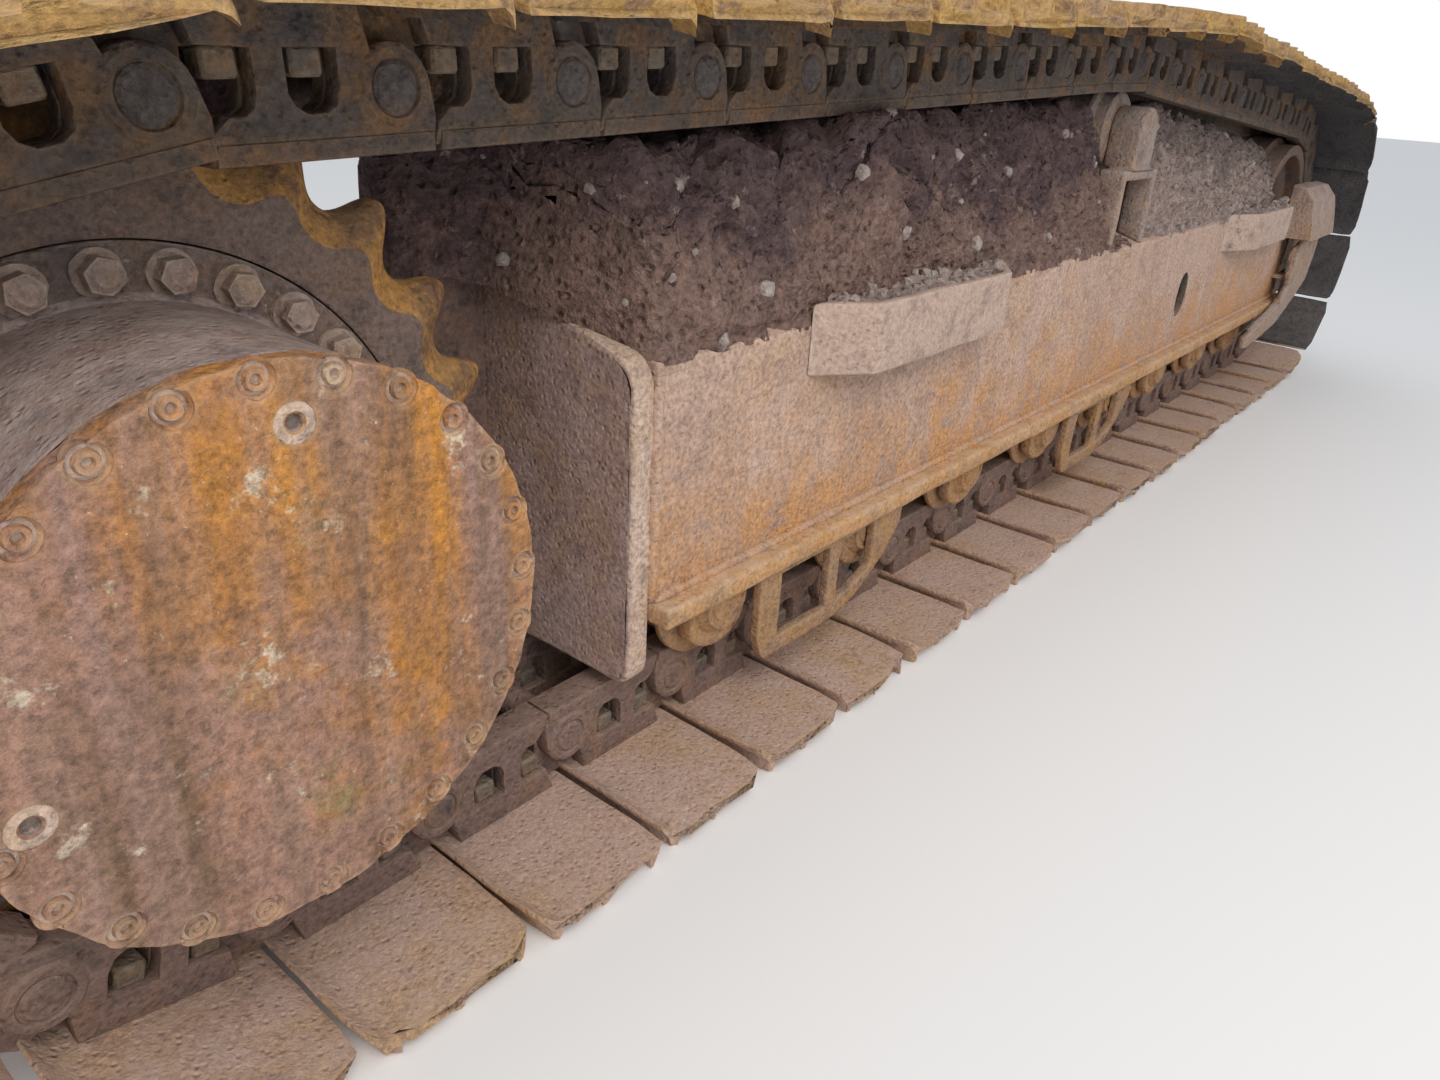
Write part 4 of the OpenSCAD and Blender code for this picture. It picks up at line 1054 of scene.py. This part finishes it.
# %% Beaten copies by a table
WELDED = [
    ["side_inner", ["side_plate_inner"], plate_steel, "frame_steel", 3, 2.0, 140],
    ["roof_plate", ["top_plate"], plate_steel, "frame_steel", 3, 1.5, 140],
    ["rail_outer", ["bottom_rail_outer"], lip_steel, "rail_steel", 7, 1.6, 60],
    ["rail_inner", ["bottom_rail_inner"], lip_steel, "rail_steel", 7, 1.6, 120],
    ["step_bars", ["step_rear", "step_front"], step_steel, "frame_steel", 4, 1.8, 40],
    ["leg_pads", ["leg_pad_rear", "leg_pad_front"], bracket_steel, "frame_steel", 6, 1.0, 120],
    # The mount plate takes the darker low link finish as painted shade.
    ["mount_plate", ["motor_mount"], low_link_steel, "frame_steel", 5, 1.0, 120],
    ["guard_plates", ["chain_guard_rear", "chain_guard_front"], guard_steel, "frame_steel", 6, 2.0, 45],
    ["brackets", ["carrier_bracket_rear", "carrier_bracket_front"], bracket_steel, "frame_steel", 9, 2.0, 35],
    ["idler_hood", ["idler_cap"], cap_steel, "frame_steel", 10, 3.0, 40],
    ["idler_blocks", ["idler_block_outer", "idler_block_inner"], cap_steel, "frame_steel", 6, 1.5, 90],
    ["yoke_and_axle", ["idler_yoke", "idler_axle"], roller_steel, "roller_steel", 5, 0.4, 120],
]
GUARD_ROLLERS = (1105, 2290)
POST_NEAR, POST_WALL, POST_END, WINDOW_GAIN = 200, 240, 330, 0.05
GUARD_BEND_TOP, GUARD_BEND = 0.271, 0.72
STRAP_FACE, STRAP_TOP, STRAP_FADE, STRAP_BACK = -0.235, 0.523, 0.018, 0.027


def guard_shape(c):
    for at_roller in GUARD_ROLLERS:
        behind_roller = at_roller - c.x * 1000 - MID_X
        if POST_NEAR < behind_roller < POST_END:
            if behind_roller > POST_WALL:
                c.x -= WINDOW_GAIN * (POST_END - behind_roller) / (POST_END - POST_WALL)
            else:
                c.x -= WINDOW_GAIN * (behind_roller - POST_NEAR) / (POST_WALL - POST_NEAR)
        share = min(1.0, max(0.0, (c.x * 1000 + MID_X - at_roller + 150) / 226))
        if c.x * 1000 + MID_X < at_roller + 90 and share > 0 and c.z < GUARD_BEND_TOP:
            c.z += (GUARD_BEND_TOP - c.z) * GUARD_BEND * share ** 2
    return c


def hood_shape(c):
    if c.y < STRAP_FACE:
        c.y += STRAP_BACK * min(1.0, max(0.0, (STRAP_TOP - c.z) / STRAP_FADE))
    return c


BENT = {"guard_plates": guard_shape, "idler_hood": hood_shape}
for name, nodes, material, slot, rim, beat, cell in WELDED:
    copy = beaten_copy(name, nodes, material, rim=rim, beat=beat, cell=cell)
    if name in BENT:
        reshape(copy, BENT[name])
    settle(copy, nodes, scaled=True)


# %% Cut the long faces of a mesh up and ruffle them
def cut_and_ruffle(thing, cell, size, depth):
    with edited(thing.data) as shell:
        bmesh.ops.triangulate(shell, faces=shell.faces)
        for again in range(7):
            long = [e for e in shell.edges if e.calc_length() > cell]
            if not long:
                break
            bmesh.ops.subdivide_edges(shell, edges=long, cuts=1)
            bmesh.ops.triangulate(shell, faces=[f for f in shell.faces if len(f.verts) > 3])
    ruffled(thing.data, size, depth)
    smooth(thing.data, 50)


# %% [markdown]
# # The end plate and the outer side plate
# The end plate is a slab with worn round corners, so its outline in Y and Z is drawn with arcs and
# turned across the frame. The outer side plate has a long hole for the spring's grease fitting.

# %% Two plates from outlines
END = (arc_points(-133, 216, 32, 32, np.linspace(180, 270, 7)) + [(165, 184), (165, 722), (-60, 657)]
       + arc_points(-118, 594, 46, 46, np.linspace(106, 180, 7)))
end_plate = plate("end_plate", [END], 505, 543, end_steel, rim=8, steps=3)
reshape(end_plate, lambda c: (c.y, c.x, c.z))
end_plate.data.flip_normals()
cut_and_ruffle(end_plate, 60, 0.012, 2.5)
settle(end_plate, ["rear_end_plate"])
repaint(end_plate, edge_steel, lambda face: face.normal.y < -0.3 or face.normal.z > 0.6)
SIDE = [(543, 303), (3882, 303), (3882, 625), (543, 625)]
HOLE_X, HOLE_Z = 2700, 450
HOLE = arc_points(HOLE_X, HOLE_Z, 40, 60, np.linspace(0, 360, 28, endpoint=False))
side_outer = plate("side_outer", [SIDE, HOLE], -165.5, -145, plate_steel, rim=3, steps=1)
cut_and_ruffle(side_outer, 110, 0.006, 2.2)
settle(side_outer, ["side_plate_outer"])
# The walls of the long hole take the dark spring paint as painted shade.
repaint(side_outer, spring_paint, lambda face: abs(face.normal.y) < 0.8
        and abs(face.center.z * 1000 - HOLE_Z) < 70 and abs(face.center.x * 1000 + MID_X - HOLE_X) < 50)


# %% [markdown]
# # Weld beads
# Where plates meet there is a bead of weld, rough and uneven. A tube that follows the joint, with
# a radius that changes along it, closes the seams between the separate pieces.

# %% Beads along the joints
def bead(start, end, radius, material, step=12, sides=8):
    a, b = Vector(start), Vector(end)
    count = max(2, int((b - a).length / step))
    run = (b - a).normalized()
    side = run.orthogonal().normalized()
    other = run.cross(side)
    points = []
    for k in range(count + 1):
        c = a + (b - a) * k / count
        r = radius * (1 + 0.35 * noise.noise(c * 0.05) + 0.2 * noise.noise(c * 0.17))
        r *= 0.5 if k in (0, count) else 1
        points += [c + (side * math.cos(t) + other * math.sin(t)) * r
                   for t in np.linspace(0, 2 * math.pi, sides, endpoint=False)]
    return solid("bead", points, skin(count + 1, sides), material, 70)


OUTER_SEAMS = [((545, -163, 310), (545, -163, 600), 9), ((548, -166, 305), (3878, -166, 305), 8),
               ((1300, -166, 553), (900, -166, 553), 4), ((3880, -160, 310), (3880, -160, 520), 8)]
INNER_SEAMS = [((545, 164, 310), (545, 164, 700), 8), ((548, 166, 304), (3878, 166, 304), 8),
               ((548, 160, 718), (3580, 160, 718), 7), ((507, -160, 200), (507, -120, 190), 3)]
for name, material, seams in (("side_welds", plate_steel, OUTER_SEAMS),
                              ("inner_welds", bracket_steel, INNER_SEAMS)):
    settle(joined(name, [bead(*seam, material) for seam in seams]))

# %% [markdown]
# # Rollers, idler and spring
# A track roller is a turned piece with a flange at both sides of the chain. Its shaft is held in
# two collars, each a block with a rounded lower side and a boss round the shaft's end. One set is
# modelled, and the repeating tree places all eight. The idler and the carrier rollers are turned
# in the same way. The recoil spring is a spiral curve given a round section, in its own tree.

# %% One track roller with its collars, then eight of them
def mirror_profile(half):
    return half + [(r, -y) for r, y in reversed(half)]


ROLLER_Z = 244
RAIL_BOTTOM = 271 - ROLLER_Z
ROLLER_FIRST, ROLLER_STEP = 710, 395
TREAD = mirror_profile([(0.1, -126), (40, -126), (58, -123), (92, -121), (99, -118), (100, -114),
         (99, -110), (95, -107), (84, -104), (82, -101), (82, -52), (80, -47), (66, -41), (60, -34)])
COLLAR = [(65, RAIL_BOTTOM), (65, -30)] + arc_points(0, 0, 80, 80, range(-36, -145, -9)) + [
    (-65, -30), (-65, RAIL_BOTTOM)]
BOSS = [(58, 146), (57, 151), (50, 158), (46, 162), (45, 167), (43, 168), (39, 168), (38, 165), (32, 165),
        (31, 167.5), (0.1, 167.5)]
roller = joined("one_roller", [turned("tread", TREAD, 0, 0, roller_steel, 64)] + both_sides([
    lambda: plate("collar", [COLLAR], 127, 152, roller_steel, rim=7),
    lambda: turned("boss", BOSS, 0, 0, roller_steel, 36)]))
smooth(roller.data, 40)
track_rollers = repeated("track_rollers", roller, roller_steel,
                         [(ROLLER_FIRST + ROLLER_STEP * k, 0, ROLLER_Z) for k in range(8)])
ruffled(track_rollers.data, 0.02, 1.2)
settle(track_rollers, ["track_roller_%d" % k for k in range(1, 9)])

# %% Carrier rollers and the idler wheel
CARRIER_NODES = ["carrier_roller_rear", "carrier_roller_front"]
CARRIERS = [(middle(node).x * 1000 + MID_X, middle(node).z * 1000) for node in CARRIER_NODES]
CARRIER_HALF = [(0.1, -90), (60, -90), (76, -88), (82, -83), (82, -62), (84, -57), (96, -53), (98, -50),
                (98, -46), (94, -41), (74, -36)]
carriers = [turned("carrier", mirror_profile(CARRIER_HALF), x, z, bracket_steel, 64) for x, z in CARRIERS]
settle(joined("carrier_rollers", carriers), CARRIER_NODES)
block_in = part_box("idler_block_inner")[0].y * 1000 + MID_Y
guide_r = (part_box("idler_wheel")[1].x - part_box("idler_wheel")[0].x) * 500
IDLER_HALF = [(47, 6 - block_in), (108, 6 - block_in), (112, 9 - block_in), (132, -52), (138, -50),
              (268, -50), (274, -54), (282, -100), (286, -104), (312, -104), (316, -101), (316, -50),
              (318, -46), (guide_r - 4, -43), (guide_r, -39)]
# The idler wheel takes the darker low link finish as painted shade.
wheel = turned("idler", mirror_profile(IDLER_HALF), IDLER_X, IDLER_Z, low_link_steel, 128, closed=True)
settle(wheel, ["idler_wheel"], body="idler")

# %% The recoil spring as a spiral
coil, given = group("coil_spring", GEOMETRY, [
    ("Geometry", MESH, None), ("Turns", FLOAT, 13.0), ("Radius", FLOAT, 88.0), ("Length", FLOAT, 860.0),
    ("Wire", FLOAT, 19.0), ("Finish", MATERIAL, None)], TO_MESH)
spiral = add(coil, "GeometryNodeCurveSpiral", {
    "Resolution": 26, "Rotations": given["Turns"], "Start Radius": given["Radius"],
    "End Radius": given["Radius"], "Height": given["Length"]})
section = add(coil, "GeometryNodeCurvePrimitiveCircle", {"Resolution": 10, "Radius": given["Wire"]})
wire = add(coil, "GeometryNodeCurveToMesh", {
    "Curve": spiral.outputs[0], "Profile Curve": section.outputs[0], "Fill Caps": True})
coated(coil, real(coil, wire.outputs[0]), given["Finish"])
spring = grown("spring", coil, placed("spring", bpy.data.meshes.new("spring")), finish=spring_paint)
spring_x = (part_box("recoil_spring")[0] * 1000).x + MID_X
reshape(spring, lambda c: (spring_x + 20 + c.z, c.x, IDLER_Z + c.y))
discs = [turned("disc", [(0.1, a), (104, a), (109, a + 5), (109, b - 5), (104, b), (0.1, b)], 0, 0,
                spring_paint, 48) for a, b in ((0, 22), (878, 900))]
discs.append(turned("guide_rod", [(0.1, 10), (46, 10), (46, 890), (0.1, 890)], 0, 0, spring_paint, 32))
for disc in discs:
    reshape(disc, lambda c: (spring_x + c.y, -c.x, IDLER_Z + c.z))
recoil = joined("recoil_spring_coil", [spring] + discs)
smooth(recoil.data, 40)
settle(recoil, ["recoil_spring"])

# %% Travel motor, turned, with its bolts
MOTOR = [(0.1, -9), (198, -9), (200, -6), (200, 111), (156, 111), (150, 113), (150, 168), (146, 173),
         (140, 175), (138, 180), (138, 236), (134, 241), (128, 243), (126, 250), (126, 296), (120, 304),
         (104, 308), (100, 312), (100, 326), (96, 330), (0.1, 330)]
settle(turned("motor", MOTOR, 0, SPR_Z, motor_paint, 96), ["travel_motor"])
MOTOR_BOLTS = (("mount_bolts", 162, 20, 255.0, 15.0), ("motor_bolts", 175, 10, 143.5, 6.0))
for name, y, count, circle_r, size in MOTOR_BOLTS:
    bolts = bolt_circle(name, 0, y, SPR_Z, motor_paint, side=1, rough=0.5, count=count,
                        circle_radius=circle_r, head_radius=size, head_height=size * 0.8,
                        washer_radius=size * 1.25, washer_height=3.0)
    settle(bolts)

# %% [markdown]
# # Packed mud
# Years of work have packed earth between the frame's roof and the chain. Its banks are skinned
# from rows of sections: a row says where the outer edge lies, how high the crest is and how far
# the face bulges. Noise of three sizes crumbles the surface. Under the carrier rollers and inside
# their brackets the earth keeps clear, as in the CAD.

# %% Rows and sections of the two banks
ROOF_Z = 627


def roof(y):
    return ROOF_Z + (y + 165) * 0.29


low_pins = pins[(pins[:, 1] > IDLER_Z + 250)]
low_pins = low_pins[np.argsort(low_pins[:, 0])]


def chain_low(x):
    return float(np.interp(x, low_pins[:, 0], low_pins[:, 1])) - RAIL_H


EDGE_Y, INNER_Y = -162, 160
BANKS = [
    ["bank_rear", "mud_bank_rear", mud_dark, [
        (0, 105, 112, 0), (0.06, 60, 150, 0), (0.08, -60, 168, 0), (0.1, EDGE_Y, 180, 0.3),
        (0.3, EDGE_Y, 214, 0.5), (0.34, EDGE_Y, 216, 1), (0.41, EDGE_Y, 220, 1), (0.45, EDGE_Y, 232, 0.5),
        (0.63, EDGE_Y, 252, 0.2), (0.765, EDGE_Y, 262, 0.2), (0.85, EDGE_Y, 212, 0),
        (0.925, EDGE_Y, 148, 0), (1, EDGE_Y, 40, 0)]],
    ["bank_front", "mud_bank_front", mud_pale, [
        (0, EDGE_Y, 150, 0), (0.12, EDGE_Y, 222, 0), (0.35, EDGE_Y, 226, 0.3), (0.65, EDGE_Y, 198, 0.6),
        (0.85, EDGE_Y, 172, 0.6), (0.96, EDGE_Y, 120, 0.4), (1, EDGE_Y, 40, 0)]],
]
SECTION = np.array([(0, 0, 0), (0.03, 0.01, 0.35), (0.09, 0.03, 0.7), (0.22, 0.08, 0.97), (0.3, 0.2, 1),
                    (0.62, 0.62, 0.86), (0.85, 0.85, 0.68), (1, 1, 0)])
ALONG_SECTION = [0, 0.2, 0.38, 0.55, 0.6, 0.75, 0.86, 1]
ROLLER_CLEAR = 112


def columns(table, at, value, which):
    return (np.interp(value, at, table[:, k]) for k in which)


def above_roof(x, y, z, fine):
    for k, (cx, cz) in enumerate(CARRIERS):
        dx = abs(x - cx)
        if (-105 if k else -88) < y < 96 and dx < ROLLER_CLEAR:
            z = min(z, cz - math.sqrt(ROLLER_CLEAR ** 2 - dx ** 2))
        if k and y < -104 and dx < 96:
            z = min(z, roof(y) + 6 + 5 * fine)
        if k and y < 60 and dx < 120:
            z = min(z, cz + 40 - 0.3 * dx)
    return z


def mud_point(x, t, s, rows, rear):
    edge, crest, bulge = columns(rows, rows[:, 0], t, (1, 2, 3))
    a, b, h = columns(SECTION, ALONG_SECTION, s, (0, 1, 2))
    y = edge + (INNER_Y - edge) * (a + (b - a) * bulge)
    base = roof(y)
    z = base + crest * h
    place = Vector((x, y, z))
    big = noise.fractal(place * 0.013, 1.0, 2.1, 3)
    fine = noise.fractal(place * 0.06, 0.8, 2.1, 4)
    crumb = max(0.0, noise.noise(place * 0.16) - 0.1)
    crack = 1 - min(1.0, 7 * abs(noise.noise(place * 0.021 + Vector((0, 0, 4)))))
    crack += 0.7 * (1 - min(1.0, 6 * abs(noise.noise(place * 0.05 + Vector((3, 0, 0))))))
    z += (30 * big + 5 * fine + 7 * crumb - 9 * crack) * min(1.0, h * 1.6)
    lump = noise.fractal(place * 0.015 + Vector((9, 0, 0)), 0.9, 2.1, 5)
    y += (19 * lump + 2 * fine + 5 * crack) * (1 - a) * 1.5
    y = max(min(y, INNER_Y + 1), -176 + 9 * (z < base + 14))
    fade = min(1.0, 0.5 + t * 14, max(0.0, (0.93 - t) * 9))
    reach_up = max(0.0, chain_low(x) + 16 - (ROOF_Z + 55) - crest) * fade
    z += reach_up * (1 if rear else max(0.0, 1 - 1.7 * t)) * h ** 0.7
    if rear:
        near = math.exp(-((x - CARRIERS[0][0]) / 105) ** 2)
        z += near * (crest * (h ** 0.4 - h) + 45 * min(1.0, 5 * h))
    z = above_roof(x, y, min(z, chain_low(x) + (4 if abs(y) > 108 else -3)), fine)
    return x, y, max(z, roof(y) - 3) if h else roof(y) - 3 - 4 * max(0.0, fine)


def mud_bank(name, node, material, rows):
    low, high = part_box(node)
    x0, x1 = low.x * 1000 + MID_X, high.x * 1000 + MID_X
    xs = np.arange(x0, x1, 9.0)
    steps = np.linspace(0, 1, 64)
    points = [mud_point(x, (x - x0) / (x1 - x0), s, np.array(rows), node == "mud_bank_rear")
              for x in xs for s in steps]
    return solid(name, points, skin(len(xs), len(steps)), material, 70)


# %% A clod of earth in one window of the chain's far strand
clod = small_block("chain_clod", (128, 206), (46, 94), (882, 934), mud_dark, rim=10)
cut_and_ruffle(clod, 9, 0.05, 7)
settle(clod)

# %% The tree that strews stones on a surface
TURN, UPSIDE = 3.1, -0.2
strew, given = group("strewn_stones", GEOMETRY, [
    ("Geometry", MESH, None), ("Stone", OBJECT, None), ("Per square mm", FLOAT, 0.001),
    ("Smallest", FLOAT, 0.4), ("Largest", FLOAT, 1.6), ("Seed", COUNT, 3),
    ("Finish", MATERIAL, None)], TO_MESH)
facing = add(strew, "ShaderNodeSeparateXYZ", {0: add(strew, "GeometryNodeInputNormal").outputs[0]})
spread = add(strew, "GeometryNodeDistributePointsOnFaces", {
    "Mesh": given["Geometry"], "Selection": maths(strew, "GREATER_THAN", facing.outputs[2], UPSIDE),
    "Density": given["Per square mm"], "Seed": given["Seed"]})
any_turn = add(strew, "FunctionNodeRandomValue", {
    0: (-TURN,) * 3, 1: (TURN,) * 3, "Seed": 5}, data_type="FLOAT_VECTOR")
any_size = add(strew, "FunctionNodeRandomValue", {
    2: given["Smallest"], 3: given["Largest"], "Seed": 8}, data_type="FLOAT")
pebble = add(strew, "GeometryNodeObjectInfo", {"Object": given["Stone"]})
laid = add(strew, "GeometryNodeInstanceOnPoints", {
    "Points": spread.outputs[0], "Instance": pebble.outputs["Geometry"],
    "Rotation": any_turn.outputs[0], "Scale": any_size.outputs[1]})
coated(strew, real(strew, laid.outputs[0]), given["Finish"])

# %% One pebble, and the banks with crumbs and stones on them
crumb_mesh = bpy.data.meshes.new("crumb")
with edited(crumb_mesh) as shell:
    bmesh.ops.create_icosphere(shell, subdivisions=1, radius=5.0)
    for p in shell.verts:
        p.co *= 1 + 0.5 * noise.noise(p.co * 0.35)
        p.co.z *= 0.7
crumb_mesh.materials.append(stone)
crumb_stone = placed("crumb", crumb_mesh)


def strewn(name, on, finish, **values):
    return grown(name, strew, placed(name, on.data.copy()), stone=crumb_stone, finish=finish, **values)


for name, node, material, rows in BANKS:
    bank = mud_bank(name, node, material, rows)
    crumbs = strewn(name + "_crumbs", bank, material, per_square_mm=0.0012, smallest=0.3, largest=0.9, seed=3)
    stones = strewn(name + "_stones", bank, stone, per_square_mm=0.00005, smallest=0.6, largest=3.2, seed=9)
    settle(bank, [node])
    settle(crumbs)
    settle(stones)

# %% [markdown]
# # Gravel on the steps
# Earth and gravel have filled the pockets behind both steps, up to the bar's upper edge.

# %% Fill behind each step
OUT_Y, SIDE_Y, CORNER = -208, -166, 130


def heap(name, x0, x1, low, top, wave, material):
    xs = np.linspace(x0, x1, int((x1 - x0) / 9))
    ys = np.linspace(OUT_Y, SIDE_Y, 9)
    points = []
    for x in xs:
        for y in ys:
            place = Vector((x, y, 0))
            rise = wave * noise.fractal(place * 0.014, 1.0, 2.0, 3)
            rise += 4 * noise.fractal(place * 0.07, 1.0, 2.0, 3)
            points.append((x, y, top + rise + 0.12 * (y - OUT_Y)))
    count = len(points)
    points += [(x, y, low) for x, y, z in points]
    m = len(ys)
    faces = []
    for j in range(len(xs) - 1):
        for i in range(m - 1):
            a = j * m + i
            faces.append((a, a + 1, a + m + 1, a + m))
            faces.append((count + a, count + a + m, count + a + m + 1, count + a + 1))
    rim = ([j * m for j in range(len(xs))] + [(len(xs) - 1) * m + i for i in range(1, m)]
           + [j * m + m - 1 for j in range(len(xs) - 2, -1, -1)] + [i for i in range(m - 2, 0, -1)])
    for a, b in zip(rim, rim[1:] + rim[:1]):
        faces.append((a, b, b + count, a + count))
    return solid(name, points, faces, material, 70)


for name, x0, x1, z in (("fill_rear", 870, 1472, 553), ("fill_front", 3010, 3682, 540)):
    fill = heap(name, x0 + 26, x1 - 26, z + 4, z + 104, 12, mud_pale)
    for p in fill.data.vertices:
        near = min(p.co.x - x0, x1 - p.co.x)
        if near < CORNER and p.co.y < SIDE_Y - 40 * near / CORNER:
            p.co.y = SIDE_Y - 40 * near / CORNER
    gravel = strewn(name + "_gravel", fill, stone, per_square_mm=0.0016, smallest=0.8, largest=3.0, seed=4)
    settle(fill)
    settle(gravel)
bpy.data.objects.remove(crumb_stone)

# %% [markdown]
# # Floor, light and world
# The object stands on a pale plain floor under soft light, so that the finishes show as they are.
# The world lights it softly from everywhere, and looks white to the camera. One large area light
# from above and behind the camera gives the soft shading of the photograph's open sky.

# %% Stage
world = bpy.data.worlds.new("studio")
bpy.context.scene.world = world
world.use_nodes = True
tree = world.node_tree
path = add(tree, "ShaderNodeLightPath").outputs
seen = maths(tree, "MAXIMUM", path["Is Camera Ray"], path["Is Transmission Ray"])
tree.links.new(blend(tree, seen, (0.62, 0.64, 0.67), (1, 1, 1)), tree.nodes["Background"].inputs["Color"])
tree.nodes["Background"].inputs["Strength"].default_value = 1.0
floor_mesh = bpy.data.meshes.new("floor")
floor_mesh.from_pydata([(-40, -40, 0), (40, -40, 0), (40, 40, 0), (-40, 40, 0)], [], [(0, 1, 2, 3)])
floor = placed("floor", floor_mesh)
floor_paint, tree = blank_finish("floor")
tree.nodes["Principled BSDF"].inputs["Base Color"].default_value = (0.93, 0.93, 0.93, 1)
tree.nodes["Principled BSDF"].inputs["Roughness"].default_value = 0.9
floor_mesh.materials.append(floor_paint)

# %% Lights
sky_light = bpy.data.lights.new("open_sky", "AREA")
sky_light.shape = "SQUARE"
sky_light.size = 3.0
sky_light.energy = 170.0
sky_light.color = (1.0, 0.96, 0.9)
lamp = placed("open_sky", sky_light)
lamp.location = (-3.2, -3.6, 4.6)
lamp.rotation_euler = (Vector((-1.0, 0.0, 0.5)) - lamp.location).to_track_quat("-Z", "Y").to_euler()
bpy.context.scene.view_settings.view_transform = "Standard"

# %% The number of pieces, at the end
print("pieces", len(settled))
